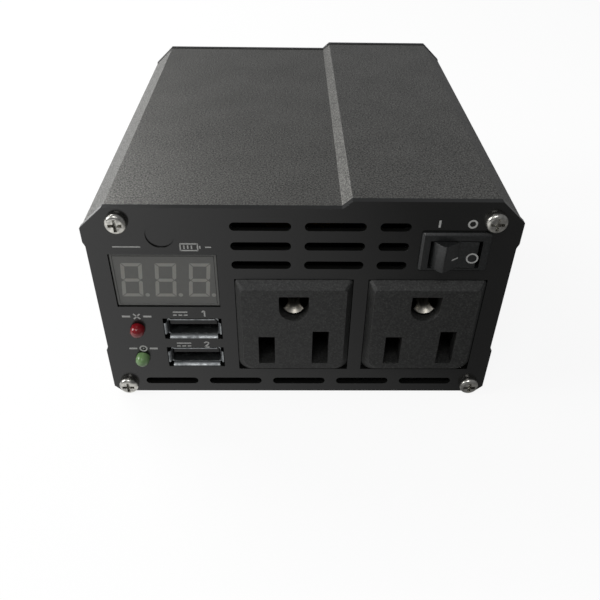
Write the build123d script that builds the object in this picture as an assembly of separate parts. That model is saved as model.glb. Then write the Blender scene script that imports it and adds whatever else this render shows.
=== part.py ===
from build123d import *
import math
import os

# Small mains power inverter: an aluminium cover and tray between two end plates.
# X runs across the front (viewer's right is +X), Y from front to back, Z up.
# The origin is the centre of the bottom face. All sizes are in millimetres.

# ---- case
case_width = 93.5
case_height = 55.1
case_length = 105.0
case_wall = 2.0
plate_thickness = 1.5
plate_overhang = 0.2
step_height = 1.8
step_foot_x = 8.2
step_run = 2.0
shoulder_width = 5.35
shoulder_drop = 4.95
bottom_bevel = 1.7
side_recess = 0.46
seam_height = 14.7
seam_slant = 0.8
seam_gap = 0.1
recess_top_drop = 11.3
recess_top_slant = 1.1
groove_count = 4
groove_pitch = 6.0
groove_width = 2.6
groove_depth = 1.0
tongue_thickness = 1.2
tongue_rise = 3.6
tongue_root = 5.0

# ---- fits
press_gap = 0.05
slide_gap = 0.1
window_gap = 0.15
swing_gap = 0.3

# ---- plate screws
screw_radius = 1.45
screw_length = 11.0
screw_head_radius = 2.35
screw_head_height = 1.7
recess_reach = 0.62
recess_half_width = 0.15
recess_depth = 0.65
head_rounding = 0.55
screw_hole_radius = 1.7
channel_radius = 2.6
channel_slot = 1.2
top_left_screw = (-38.75, 5.15)
top_right_screw = (40.5, 4.45)
bottom_screw = (42.85, 2.7)

# ---- air slots in the front plate
slot_height = 2.05
slot_length = 13.03
short_slot_length = 6.6
slot_pitch = 15.9
slot_row_pitch = 4.9
top_slot_drop = 6.15
top_slot_start = -15.4
top_slot_rows = 3
bottom_slot_height = 3.6
bottom_slot_start = -38.5
bottom_slot_count = 5
dimple_radius = 3.1
dimple_depth = 0.35
dimple_x = -30.2
dimple_drop = 8.45

# ---- mains outlets, 15 A straight blade with earth
outlet_centres = {"left": -1.65, "right": 28.35}
outlet_height = 21.5
outlet_width = 26.4
outlet_tall = 27.3
outlet_face_width = 23.8
outlet_face_tall = 23.8
outlet_face_lift = 0.35
outlet_proud = 2.1
outlet_corner = 3.2
outlet_flange = 28.4
outlet_flange_thickness = 1.6
outlet_depth = 18.0
outlet_body_width = 24.0
outlet_body_tall = 24.4
outlet_cap_thickness = 2.0
blade_pitch = 12.7
blade_slot_width = 3.85
neutral_slot_tall = 8.4
live_slot_tall = 10.1
blade_slot_foot = 11.6
blade_pocket = (6.4, 11.4)
ground_radius = 3.4
ground_centre_height = 28.4
ground_top_height = 31.85
ground_pocket_radius = 4.6
contact_thickness = 0.6
contact_gap = 1.4
contact_width = 7.0
contact_length = 11.0
ground_contact_gap = 4.7
ground_contact_width = 4.4
ground_tail_setback = 1.6
outlet_top_corner = 0.8
pocket_foot_gap = 0.4
tail_width = 3.0
tail_reach = 3.0

# ---- voltage display, three digits of 0.36 inch
display_centre = (-30.25, 34.55)
display_width = 23.3
display_tall = 14.3
display_depth = 7.2
display_setback = 0.4
display_rim = 0.6
display_face_thickness = 0.8
display_pin_radius = 0.3
display_pin_count = 5
display_pin_pitch = 2.54
display_pin_inset = 2.0
digit_pitch = 7.5
digit_width = 4.7
digit_tall = 9.2
digit_count = 3
digit_rise = 0.1
digit_lean = 0.087
segment_thickness = 0.85
segment_gap = 0.22
point_radius = 0.5
point_offset = (2.95, -4.15)

# ---- indicator lamps
lamp_x = -38.3
fault_lamp_height = 20.65
power_lamp_height = 11.4
lamp_radius = 1.65
lamp_proud = 2.5
lamp_flange_radius = 2.05
lamp_flange_thickness = 1.0
lamp_lead_radius = 0.25
lamp_lead_pitch = 1.27

# ---- USB sockets
usb_x = -25.35
usb_heights = {"upper": 20.7, "lower": 11.7}
usb_width = 13.4
usb_tall = 6.0
usb_wall = 0.35
usb_proud = 0.3
usb_tongue_width = 11.1
usb_tongue_thickness = 1.84
usb_tongue_setback = 1.6
usb_tongue_drop = 0.7
usb_block_depth = 4.0
usb_corner = 0.8
usb_block_corner = 0.4
usb_pin_setback = 0.6
usb_pin_count = 4
usb_pin_pitch = 2.4
usb_pin_width = 1.1
usb_pin_thickness = 0.2

# ---- front circuit board, upright behind the sockets
front_board_setback = 15.0
front_board_thickness = 1.6
front_board_wall_gap = 4.35
front_board_right = -17.0
front_board_top = 44.0

# ---- rocker switch
switch_x = 32.95
bezel_height = 43.1
bezel_width = 15.1
bezel_tall = 9.8
bezel_proud = 1.0
bezel_corner = 0.6
switch_window_width = 11.2
switch_window_tall = 7.0
rocker_drop = 0.4
switch_body_width = 13.2
switch_body_tall = 8.6
switch_body_depth = 10.5
switch_floor = 1.2
rocker_pivot_depth = 1.6
rocker_radius = 5.45
rocker_ridge_angle = 47.0
rocker_valley = 2.7
rocker_back = 1.6
rocker_swing = 30.0
rocker_pin_radius = 0.8
rocker_pin_length = 0.6
rocker_ridge_round = 0.5
plunger_radius = 0.9
lever_ratio = 0.5
lever_pivot_depth = 7.2
lever_half_length = 3.6
lever_thickness = 0.5
lever_width = 3.2
lever_rise = 0.7
lever_overhang = 0.8
terminal_width = 3.2
terminal_thickness = 0.8
terminal_length = 6.5
right_contact_step = 0.3

# ---- main circuit board and what stands on it
board_underside = 6.0
board_thickness = 1.6
board_side_gap = 0.3
board_front_setback = 6.5
board_back_setback = 14.5
rail_width = 1.8
rail_thickness = 1.0
rib_overlap = 0.2
tray_underrun = 1.0
sink_x = 38.6
sink_base = 2.6
sink_fin_length = 3.0
sink_fin_count = 5
sink_fin_thickness = 1.2
sink_height = 25.0
sink_clearance = 3.0
sink_length = 55.6
transistor_count = 4
transistor_pitch = 14.0
transistor_width = 10.2
transistor_tall = 9.2
transistor_thickness = 4.4
tab_thickness = 1.3
tab_tall = 6.4
transistor_lift = 5.0
transistor_lead_width = 0.9
transistor_lead_thickness = 0.5
transistor_lead_pitch = 2.54
tab_hole_radius = 1.8
transistor_lead_offset = 0.9
pad_thickness = 0.25
pad_side_margin = 0.8
pad_end_margin = 0.5
sink_screw_radius = 1.5
sink_screw_length = 3.6
sink_screw_head_radius = 2.7
sink_screw_head_height = 1.8
core_width = 33.0
core_tall = 28.0
core_depth = 12.6
core_leg = 5.2
core_centre_leg = 10.4
core_lift = 3.0
transformer_y = 6.0
transformer_x = 0.0
bobbin_wall = 0.9
bobbin_margin = 0.4
bobbin_pin_radius = 0.45
bobbin_pin_count = 4
bobbin_pin_pitch = 4.0
bobbin_pin_inset = 1.0
winding_thickness = 4.2
winding_corner = 2.0
can_rounding = 0.6
can_groove_height = 2.6
can_groove_offset = 0.5
can_groove_radius = 0.9
input_capacitor_radius = 5.0
input_capacitor_tall = 20.0
input_capacitor_places = [(-26.0, 20.0), (-14.5, 25.0)]
bulk_capacitor_radius = 9.0
bulk_capacitor_tall = 31.0
bulk_capacitor_x = 20.0
bulk_capacitor_clearance = 2.0
choke_radius = 7.2
choke_wire_radius = 3.6
choke_place = (19.5, 23.0)
fuse_count = 2
fuse_pitch = 7.0
fuse_place = (-27.9, 2.0)
fuse_size = (5.0, 15.0, 13.0)
fuse_head_rim = (0.5, 1.0, 3.0)
fuse_foot = 4.0
fuse_blade = (0.8, 4.4)
fuse_blade_share = 0.3
control_board_place = (-19.0, -18.0)
control_board_size = (1.2, 22.0, 24.0)
control_chip = (1.6, 10.0, 6.0)
control_chip_levels = (0.3, 0.7)

# ---- rear plate: fan and battery terminals
fan_centre = (18.0, 28.0)
fan_size = 40.0
fan_depth = 10.0
fan_bore_radius = 19.0
fan_hole_pitch = 32.0
fan_hole_radius = 1.7
fan_corner = 3.0
hub_radius = 10.6
hub_depth = 8.0
blade_count = 7
blade_tip_gap = 0.7
blade_angle = 38.0
blade_chord = 9.6
blade_thickness = 0.9
motor_plate = 1.4
strut_width = 3.0
strut_turn = 20.0
strut_overlap = 1.0
shaft_radius = 1.0
rotor_gap = 0.4
hub_inset = 0.3
hub_wall = 1.5
hub_cup_share = 0.6
hub_rounding = 1.2
blade_root_overlap = 0.8
guard_wire_radius = 0.65
guard_ring_radii = [4.9, 9.5, 14.1, 18.7]
guard_ring_lift = 0.95
guard_eye_radius = 2.35
fan_screw_radius = 1.5
fan_screw_head_radius = 2.8
fan_screw_head_height = 1.9
nut_across_flats = 5.5
nut_thickness = 2.2
fan_screw_spare = 0.6
guard_arm_overlap = 1.0
post_places = {"positive": -16.0, "negative": -33.0}
post_height = 28.0
stud_radius = 2.5
stud_hole_radius = 4.4
stud_inside = 9.0
stud_end_gap = 0.8
bushing_radius = 7.0
bushing_flange = 2.6
bushing_inner = 3.6
bushing_step = 0.6
stud_chamfer = 0.5
post_nut_flats = 8.0
post_nut_thickness = 3.0
washer_radius = 4.6
washer_thickness = 0.8
knob_radius = 6.6
knob_length = 11.5
knob_cap = 1.8
knob_flute_count = 12
knob_flute_radius = 0.9
knob_flute_offset = 0.3
knob_flute_start = 1.6
knob_rounding = 1.2
knob_travel = 4.8
strap_width = 8.0
strap_thickness = 1.0
strap_landing = 7.0
earth_place = (-24.5, 10.0)
earth_screw_radius = 2.0
earth_head_radius = 3.6
earth_head_height = 2.2
earth_screw_reach = 5.0
earth_nut_flats = 7.0
earth_nut_thickness = 3.2

# ---- inside leads
lead_radius = 0.8
lead_bend = 3.5
switch_lead_gap = 1.7
fan_lead_reach = 5.0
fan_lead_drop = 6.0
fan_lead_pitch = 5.0

half_width = case_width / 2
front = -case_length / 2
back = case_length / 2
inner_front = front + plate_thickness
inner_back = back - plate_thickness
left_top = case_height - step_height
wall_face = half_width - plate_overhang - case_wall
board_top = board_underside + board_thickness
rocker_height = bezel_height - rocker_drop
rocker_pivot_y = front + rocker_pivot_depth
outlet_back = inner_front + outlet_depth + outlet_cap_thickness + tail_reach
sink_front = outlet_back + sink_clearance
front_board_left = front_board_wall_gap - case_width / 2


def block(x, y, z):
    """A box between pairs of X, Y and Z limits."""
    size = [abs(pair[1] - pair[0]) for pair in (x, y, z)]
    centre = [(pair[0] + pair[1]) / 2 for pair in (x, y, z)]
    return Pos(*centre) * Box(*size)


def plate(sketch, near, far):
    """A sketch drawn in X and Z, made solid from Y = near back to Y = far."""
    upright = Plane(origin=(0, far, 0), x_dir=(1, 0, 0), z_dir=(0, -1, 0))
    return extrude(upright * sketch, amount=far - near)


def rod_x(radius, left, right, y, z):
    return Pos((left + right) / 2, y, z) * Rot(0, 90, 0) * Cylinder(radius, right - left)


def rod_y(radius, near, far, x, z):
    return Pos(x, (near + far) / 2, z) * Rot(90, 0, 0) * Cylinder(radius, far - near)


def rod_z(radius, low, high, x, y):
    return Pos(x, y, (low + high) / 2) * Cylinder(radius, high - low)


def hexagon_y(across_flats, near, far, x, z):
    return plate(Pos(x, z) * RegularPolygon(across_flats / math.sqrt(3), 6), near, far)


def group(*items):
    """Separate solids that belong to one node."""
    return Compound([solid for item in items for solid in item.solids()])


def save(name, shape):
    export_step(shape, f"parts/{name}.step")


def pan_screw(head_radius, head_height, shank_radius, length):
    """A cross-recessed pan-head screw along Y, seated at the origin with its head towards -Y."""
    head = rod_y(head_radius, -head_height, 0, 0, 0)
    head = fillet(head.edges().group_by(Axis.Y)[0], head_height * head_rounding)
    cross_reach = head_radius * recess_reach
    cross_half = head_radius * recess_half_width
    cross_floor = (recess_depth - 1) * head_height
    cross = block((-cross_reach, cross_reach), (-head_height, cross_floor), (-cross_half, cross_half))
    cross += block((-cross_half, cross_half), (-head_height, cross_floor), (-cross_reach, cross_reach))
    return head + rod_y(shank_radius, 0, length, 0, 0) - cross


def case_outline():
    """The end plates' outline: stepped top, sloping shoulders and a shallow recess in each side."""
    recess_x = half_width - side_recess
    recess_top = case_height - recess_top_drop
    seam_foot = seam_height - seam_slant
    right_side = [
        (half_width - bottom_bevel, 0),
        (half_width, bottom_bevel),
        (half_width, seam_foot),
        (recess_x, seam_height),
        (recess_x, recess_top),
        (half_width, recess_top + recess_top_slant),
    ]
    top = [
        (half_width, case_height - shoulder_drop),
        (half_width - shoulder_width, case_height),
        (step_foot_x + step_run, case_height),
        (step_foot_x, left_top),
        (shoulder_width - half_width, left_top),
        (-half_width, left_top - shoulder_drop),
    ]
    left_side = [(-x, z) for x, z in reversed(right_side)]
    return Polygon(*right_side, *top, *left_side, align=None)


def plate_screw_places():
    """X and Z of the four screws that hold an end plate."""
    return [
        (top_left_screw[0], left_top - top_left_screw[1] + step_height),
        (top_right_screw[0], case_height - top_right_screw[1]),
        (-bottom_screw[0], bottom_screw[1]),
        (bottom_screw[0], bottom_screw[1]),
    ]


def screw_channels(places, slot_side, outer):
    """C-shaped screw channels along an extrusion, and the bores to cut through them."""
    bosses = Sketch()
    bores = Sketch()
    for x, z in places:
        bosses += Pos(x, z) * Circle(channel_radius)
        bores += Pos(x, z) * Circle(screw_radius + press_gap)
        bores += Pos(x, z + slot_side * channel_radius) * Rectangle(channel_slot, 2 * channel_radius)
    return bosses & outer, bores


def extrusion(low, high, places, slot_side, extra):
    """The case wall between two heights, with screw channels and extra ribs."""
    outer = offset(case_outline(), -plate_overhang, kind=Kind.INTERSECTION)
    inner = offset(outer, -case_wall, kind=Kind.INTERSECTION)
    band = Pos(0, (low + high) / 2) * Rectangle(2 * case_width, high - low)
    bosses, bores = screw_channels(places, slot_side, outer)
    section = ((outer - inner) & band) + bosses
    for rib in extra:
        section += rib
    return plate(section - bores, inner_front, inner_back)


def top_cover():
    """Upper extrusion with cooling grooves along both sides."""
    cover = extrusion(seam_height + seam_gap, 2 * case_height, plate_screw_places()[:2], -1, [])
    recess_face = half_width - plate_overhang - side_recess
    middle = (seam_height + case_height - recess_top_drop) / 2
    for index in range(groove_count):
        z = middle + (index - (groove_count - 1) / 2) * groove_pitch
        for side in (-1, 1):
            edges = sorted((side * (recess_face - groove_depth), side * half_width))
            cover -= block(edges, (inner_front, inner_back), (z - groove_width / 2, z + groove_width / 2))
    return cover


def bottom_tray():
    """Lower extrusion with board rails and a tongue that stands inside the cover."""
    recess_inner = wall_face - side_recess - slide_gap
    ribs = []
    for side in (-1, 1):
        root = Pos(side * (wall_face - tongue_thickness / 2), seam_height - tongue_root / 2 - seam_slant)
        ribs.append(root * Rectangle(tongue_thickness + 3 * rib_overlap, tongue_root))
        tongue_middle = seam_height - seam_slant + (tongue_rise + seam_slant) / 2 - tongue_thickness / 2
        tongue = Pos(side * (recess_inner - tongue_thickness / 2), tongue_middle)
        ribs.append(tongue * Rectangle(tongue_thickness, tongue_rise + seam_slant + tongue_thickness))
        for edge in (board_underside - rail_thickness / 2, board_top + press_gap + rail_thickness / 2):
            rail = Pos(side * (wall_face - rail_width / 2 + rib_overlap), edge)
            ribs.append(rail * Rectangle(rail_width + 2 * rib_overlap, rail_thickness))
    return extrusion(-tray_underrun, seam_height, plate_screw_places()[2:], 1, ribs)


def air_slot(x, z, length):
    return Pos(x + length / 2, z) * SlotOverall(length, slot_height)


def front_plate():
    face = case_outline()
    for row in range(top_slot_rows):
        z = case_height - top_slot_drop - row * slot_row_pitch
        face -= air_slot(top_slot_start, z, slot_length)
        face -= air_slot(top_slot_start + slot_pitch, z, slot_length)
        face -= air_slot(top_slot_start + 2 * slot_pitch, z, short_slot_length)
    for index in range(bottom_slot_count):
        face -= air_slot(bottom_slot_start + index * slot_pitch, bottom_slot_height, slot_length)
    for x, z in plate_screw_places():
        face -= Pos(x, z) * Circle(screw_hole_radius)
    for x in outlet_centres.values():
        face -= Pos(x, outlet_height) * Rectangle(outlet_width + 2 * window_gap, outlet_tall + 2 * window_gap)
    face -= Pos(*display_centre) * Rectangle(display_width + 2 * slide_gap, display_tall + 2 * slide_gap)
    for z in usb_heights.values():
        face -= Pos(usb_x, z) * Rectangle(usb_width + 2 * window_gap, usb_tall + 2 * window_gap)
    for z in (fault_lamp_height, power_lamp_height):
        face -= Pos(lamp_x, z) * Circle(lamp_radius + slide_gap)
    body_window = Rectangle(switch_body_width + 2 * slide_gap, switch_body_tall + 2 * slide_gap)
    face -= Pos(switch_x, bezel_height) * body_window
    panel = plate(face, front, inner_front)
    return panel - rod_y(dimple_radius, front, front + dimple_depth, dimple_x, case_height - dimple_drop)


def rear_plate():
    face = case_outline()
    for x, z in plate_screw_places():
        face -= Pos(x, z) * Circle(screw_hole_radius)
    face -= Pos(*fan_centre) * Circle(fan_bore_radius)
    for x, z in fan_screw_places():
        face -= Pos(x, z) * Circle(fan_hole_radius)
    for x in post_places.values():
        face -= Pos(x, post_height) * Circle(stud_hole_radius + press_gap)
    face -= Pos(*earth_place) * Circle(earth_screw_radius + slide_gap)
    return plate(face, inner_back, back)


def plate_screws(seat, towards):
    """Four screws: towards is +1 when they point to +Y, -1 when they point to -Y."""
    turn = 0 if towards > 0 else 180
    screw = pan_screw(screw_head_radius, screw_head_height, screw_radius, screw_length)
    return group(*[Pos(x, seat, z) * Rot(0, 0, turn) * screw for x, z in plate_screw_places()])


def outlet_pockets(x):
    """X, Z, width and height of the pockets behind the neutral and live slots."""
    pocket_z = blade_slot_foot + live_slot_tall / 2 - pocket_foot_gap
    return [
        (x - blade_pitch / 2, pocket_z, blade_pocket[0], blade_pocket[1]),
        (x + blade_pitch / 2, pocket_z, blade_pocket[0], blade_pocket[1]),
    ]


def outlet_body(x):
    """Moulded outlet with a bevelled face, two blade slots and a D-shaped earth hole."""
    rear = inner_front + outlet_depth
    face_y = front - outlet_proud
    base = Pos(x, outlet_height) * Rectangle(outlet_width, outlet_tall)
    base = fillet(base.vertices().group_by(Axis.Y)[0], outlet_corner)
    face = Pos(x, outlet_height + outlet_face_lift) * Rectangle(outlet_face_width, outlet_face_tall)
    face = fillet(face.vertices().group_by(Axis.Y)[0], outlet_corner)
    face = fillet(face.vertices().group_by(Axis.Y)[-1], outlet_top_corner)
    base = fillet(base.vertices().group_by(Axis.Y)[-1], outlet_top_corner)
    upright = Plane(origin=(0, front, 0), x_dir=(1, 0, 0), z_dir=(0, -1, 0))
    raised = Plane(origin=(0, face_y, 0), x_dir=(1, 0, 0), z_dir=(0, -1, 0))
    body = loft([(upright * base).face(), (raised * face).face()])
    body += plate(base, front, inner_front)
    flange = Pos(x, outlet_height) * Rectangle(outlet_flange, outlet_flange)
    body += plate(flange, inner_front, inner_front + outlet_flange_thickness)
    shell = Pos(x, outlet_height) * Rectangle(outlet_body_width, outlet_body_tall)
    body += plate(shell, inner_front, rear)
    floor = inner_front
    for px, pz, width, tall in outlet_pockets(x):
        body -= plate(Pos(px, pz) * Rectangle(width, tall), floor, rear)
    body -= rod_y(ground_pocket_radius, floor, rear, x, ground_centre_height)
    slots = Sketch()
    slots += Pos(x - blade_pitch / 2, blade_slot_foot + neutral_slot_tall / 2) * Rectangle(
        blade_slot_width, neutral_slot_tall)
    slots += Pos(x + blade_pitch / 2, blade_slot_foot + live_slot_tall / 2) * Rectangle(
        blade_slot_width, live_slot_tall)
    slots += Pos(x, ground_centre_height) * Circle(ground_radius)
    upper = (ground_centre_height + ground_top_height) / 2
    slots += Pos(x, upper) * Rectangle(2 * ground_radius, ground_top_height - ground_centre_height)
    return body - plate(slots, face_y - 1, floor)


def outlet_cap(x):
    """Rear cap of an outlet, with a slit for each contact's tail."""
    rear = inner_front + outlet_depth
    cap = Pos(x, outlet_height) * Rectangle(outlet_body_width, outlet_body_tall)
    for px, pz in outlet_tails(x):
        cap -= Pos(px, pz) * Rectangle(tail_width + 2 * slide_gap, contact_thickness + 2 * slide_gap)
    return plate(cap, rear, rear + outlet_cap_thickness)


def outlet_tails(x):
    """X and Z where each contact's tail leaves the rear cap."""
    blade_z = outlet_pockets(x)[0][1]
    ground_z = ground_centre_height - ground_contact_gap / 2 - contact_thickness / 2
    return [(x - blade_pitch / 2, blade_z), (x + blade_pitch / 2, blade_z), (x, ground_z)]


def outlet_contacts(x):
    """Two folded blade clips and an earth clip, each with a tail bent down to the main board."""
    rear = inner_front + outlet_depth
    near = rear - contact_length - press_gap
    web_near = rear - contact_thickness - press_gap
    leg_depth = (near, rear - press_gap)
    web_depth = (web_near, rear - press_gap)
    pieces = []
    for index, (px, pz) in enumerate(outlet_tails(x)):
        earth = index == 2
        half = (ground_contact_gap if earth else contact_gap) / 2
        outer = half + contact_thickness
        if earth:
            across = (x - ground_contact_width / 2, x + ground_contact_width / 2)
            middle = ground_centre_height
            legs = block(across, leg_depth, (middle - outer, middle - half))
            legs += block(across, leg_depth, (middle + half, middle + outer))
            web = block(across, web_depth, (middle - outer, middle + outer))
        else:
            tall = (pz - contact_width / 2, pz + contact_width / 2)
            legs = block((px - outer, px - half), leg_depth, tall)
            legs += block((px + half, px + outer), leg_depth, tall)
            web = block((px - outer, px + outer), web_depth, tall)
        drop_y = outlet_back - (ground_tail_setback if earth else 0)
        across = (px - tail_width / 2, px + tail_width / 2)
        top = pz + contact_thickness / 2
        tail = block(across, (web_near, drop_y), (pz - contact_thickness / 2, top))
        drop = block(across, (drop_y - contact_thickness, drop_y), (board_top, top))
        pieces.append(legs + web + tail + drop)
    return group(*pieces)


def digit_segments():
    """Sketches of every segment and decimal point of the display."""
    reach_x = digit_width / 2
    reach_z = digit_tall / 2
    bar = segment_thickness
    gap = segment_gap / 2
    end_x = reach_x - gap
    end_z = reach_z - gap
    top_bar = [(-end_x, reach_z), (bar - end_x, reach_z - bar)]
    top_bar += [(end_x - bar, reach_z - bar), (end_x, reach_z)]
    middle_bar = [(gap + bar / 2 - reach_x, 0), (gap + bar - reach_x, -bar / 2)]
    middle_bar += [(reach_x - bar - gap, -bar / 2)]
    middle_bar += [(-x, -z) for x, z in middle_bar]
    upright = [(reach_x, end_z), (reach_x - bar, end_z - bar), (reach_x - bar, bar / 2 + gap)]
    upright += [(reach_x - bar / 2, gap), (reach_x, bar / 2 + gap)]
    outlines = [(middle_bar, 1, 1)]
    for side in (-1, 1):
        outlines.append((top_bar, side, side))
        for level in (-1, 1):
            outlines.append((upright[::side * level], side, level))
    digit = [Pos(*point_offset) * Circle(point_radius)]
    for points, side, level in outlines:
        leaning = [(side * x + level * z * digit_lean, level * z) for x, z in points]
        digit.append(Polygon(*leaning, align=None))
    sketches = []
    z = display_centre[1] + digit_rise
    for index in range(digit_count):
        x = display_centre[0] + (index - (digit_count - 1) / 2) * digit_pitch
        sketches += [Pos(x, z) * part for part in digit]
    return sketches


def display_case():
    near = front + display_setback
    case = plate(Pos(*display_centre) * Rectangle(display_width, display_tall), near, near + display_depth)
    inside = Rectangle(display_width - 2 * display_rim, display_tall - 2 * display_rim)
    return case - plate(Pos(*display_centre) * inside, near, near + display_face_thickness)


def display_face():
    near = front + display_setback
    width = display_width - 2 * display_rim - 2 * press_gap
    tall = display_tall - 2 * display_rim - 2 * press_gap
    face = Pos(*display_centre) * Rectangle(width, tall)
    for sketch in digit_segments():
        face -= sketch
    return plate(face, near, near + display_face_thickness)


def display_segments():
    near = front + display_setback
    return group(*[plate(sketch, near, near + display_face_thickness) for sketch in digit_segments()])


def display_pins():
    """Two rows of pins between the display and the front board."""
    near = front + display_setback + display_depth
    far = front + front_board_setback
    pins = []
    for row in (-1, 1):
        for index in range(display_pin_count):
            x = display_centre[0] + (index - (display_pin_count - 1) / 2) * display_pin_pitch
            z = display_centre[1] + row * (display_tall / 2 - display_pin_inset)
            pins.append(rod_y(display_pin_radius, near, far, x, z))
    return group(*pins)


def lamp(z):
    """Domed 3 mm indicator lamp with its rear flange."""
    flange_near = inner_front
    dome = Pos(lamp_x, front - lamp_proud + lamp_radius, z) * Sphere(lamp_radius)
    near = front - lamp_proud + lamp_radius
    body = rod_y(lamp_radius, near, flange_near + lamp_flange_thickness, lamp_x, z)
    flange = rod_y(lamp_flange_radius, flange_near, flange_near + lamp_flange_thickness, lamp_x, z)
    return body + dome + flange


def lamp_leads():
    near = inner_front + lamp_flange_thickness
    far = front + front_board_setback
    leads = []
    for z in (fault_lamp_height, power_lamp_height):
        for side in (-1, 1):
            leads.append(rod_y(lamp_lead_radius, near, far, lamp_x + side * lamp_lead_pitch, z))
    return group(*leads)


def usb_shell(z):
    """Drawn steel shell of a USB socket, open at the front and closed by the insulator behind."""
    near = front - usb_proud
    far = front + front_board_setback
    outer = Pos(usb_x, z) * RectangleRounded(usb_width, usb_tall, usb_corner)
    inner = RectangleRounded(usb_width - 2 * usb_wall, usb_tall - 2 * usb_wall, usb_corner - usb_wall)
    inner = Pos(usb_x, z) * inner
    return plate(outer - inner, near, far)


def usb_tongue_top(z):
    return z + usb_tall / 2 - usb_wall - usb_tongue_drop


def usb_tongue(z):
    """Moulded insulator: a block at the back with a tongue that reaches forward."""
    far = front + front_board_setback
    width = usb_width - 2 * usb_wall - 2 * press_gap
    tall = usb_tall - 2 * usb_wall - 2 * press_gap
    block_sketch = Pos(usb_x, z) * RectangleRounded(width, tall, usb_block_corner)
    insulator = plate(block_sketch, far - usb_block_depth, far)
    top = usb_tongue_top(z)
    across = (usb_x - usb_tongue_width / 2, usb_x + usb_tongue_width / 2)
    reach = (front + usb_tongue_setback, far - usb_block_depth)
    return insulator + block(across, reach, (top - usb_tongue_thickness, top))


def usb_pins(z):
    """Flat contacts on the underside of a socket's tongue."""
    under = usb_tongue_top(z) - usb_tongue_thickness
    near = front + usb_tongue_setback + usb_pin_setback
    far = front + front_board_setback - usb_block_depth
    pins = []
    for index in range(usb_pin_count):
        x = usb_x + (index - (usb_pin_count - 1) / 2) * usb_pin_pitch
        across = (x - usb_pin_width / 2, x + usb_pin_width / 2)
        pins.append(block(across, (near, far), (under - usb_pin_thickness, under)))
    return group(*pins)


def front_board():
    """Upright board that carries the sockets, lamps and display, and stands on the main board."""
    near = front + front_board_setback
    depth = (near, near + front_board_thickness)
    return block((front_board_left, front_board_right), depth, (board_top, front_board_top))


def switch_housing():
    """Snap-in switch body: a bezel on the plate and a box behind it with the rocker's bearings."""
    bezel = Pos(switch_x, bezel_height) * RectangleRounded(bezel_width, bezel_tall, bezel_corner)
    body = Pos(switch_x, bezel_height) * Rectangle(switch_body_width, switch_body_tall)
    far = front + switch_body_depth
    housing = plate(bezel, front - bezel_proud, front) + plate(body, front, far)
    rim = housing.edges().group_by(Axis.Y)[0].filter_by(GeomType.LINE)
    housing = chamfer(rim, bezel_proud * 0.5)
    window = Pos(switch_x, rocker_height) * Rectangle(switch_window_width, switch_window_tall)
    housing -= plate(window, front - bezel_proud, far - switch_floor)
    reach = switch_window_tall / 2 + rocker_pin_length + slide_gap
    bore = rocker_pin_radius + press_gap
    housing -= rod_z(bore, rocker_height - reach, rocker_height + reach, switch_x, rocker_pivot_y)
    for x in terminal_places():
        slit = Rectangle(terminal_thickness + 2 * press_gap, terminal_width + 2 * press_gap)
        slit = Pos(x, rocker_height) * slit
        housing -= plate(slit, far - switch_floor, far)
    return housing


def terminal_places():
    """X of the centre terminal and of the one on the right."""
    return [switch_x, switch_x + lever_half_length]


def rocker():
    """Rocker with two wings and a shallow valley, on two round pins, with a plunger behind."""
    ridge = math.radians(rocker_ridge_angle)
    ridge_x = rocker_radius * math.cos(ridge)
    ridge_y = -rocker_radius * math.sin(ridge)
    back_x = math.sqrt(rocker_radius ** 2 - rocker_back ** 2)
    with BuildSketch() as profile:
        with BuildLine():
            Polyline((-ridge_x, ridge_y), (0, -rocker_valley), (ridge_x, ridge_y))
            ThreePointArc((ridge_x, ridge_y), (rocker_radius, 0), (back_x, rocker_back))
            Line((back_x, rocker_back), (-back_x, rocker_back))
            ThreePointArc((-back_x, rocker_back), (-rocker_radius, 0), (-ridge_x, ridge_y))
        make_face()
    half = switch_window_tall / 2 - window_gap
    wings = Pos(0, 0, -half) * extrude(profile.sketch, amount=2 * half)
    ridges = [e for e in wings.edges().filter_by(Axis.Z) if e.center().Y < ridge_y + 0.1]
    wings = fillet(ridges, rocker_ridge_round)
    pins = rod_z(rocker_pin_radius, -half - rocker_pin_length, half + rocker_pin_length, 0, 0)
    tip_centre = lever_pivot_depth - rocker_pivot_depth - swing_gap - plunger_radius
    plunger = rod_y(plunger_radius, rocker_back, tip_centre, 0, 0)
    plunger += Pos(0, tip_centre, 0) * Sphere(plunger_radius)
    rest = Rot(0, 0, rocker_swing / 2)
    return Pos(switch_x, rocker_pivot_y, rocker_height) * rest * (wings + pins + plunger)


def lever_pivot_y():
    return front + lever_pivot_depth


def contact_lever():
    """Metal seesaw behind the rocker, a shallow V that rests on the centre terminal."""
    half = lever_half_length + lever_overhang
    points = [(-half, -lever_rise), (0, 0), (half, -lever_rise)]
    points += [(x, y + lever_thickness) for x, y in reversed(points)]
    strip = extrude(Polygon(*points, align=None), amount=lever_width)
    rest = Rot(0, 0, -rocker_swing * lever_ratio / 2)
    return Pos(switch_x, lever_pivot_y(), rocker_height - lever_width / 2) * rest * strip


def switch_terminals():
    """Centre terminal with a rounded edge under the lever, and the right terminal with a contact."""
    far = front + switch_body_depth
    pieces = []
    centre_near = lever_pivot_y() + lever_thickness + swing_gap
    right_near = far - switch_floor - right_contact_step
    for x, near in zip(terminal_places(), (centre_near, right_near)):
        across = (x - terminal_thickness / 2, x + terminal_thickness / 2)
        tall = (rocker_height - terminal_width / 2, rocker_height + terminal_width / 2)
        pieces.append(block(across, (near, far + terminal_length), tall))
    return group(*pieces)


def board_limits():
    half = wall_face - board_side_gap
    return (-half, half), (front + board_front_setback, back - board_back_setback)


def main_board():
    across, along = board_limits()
    return block(across, along, (board_underside, board_top))


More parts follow.
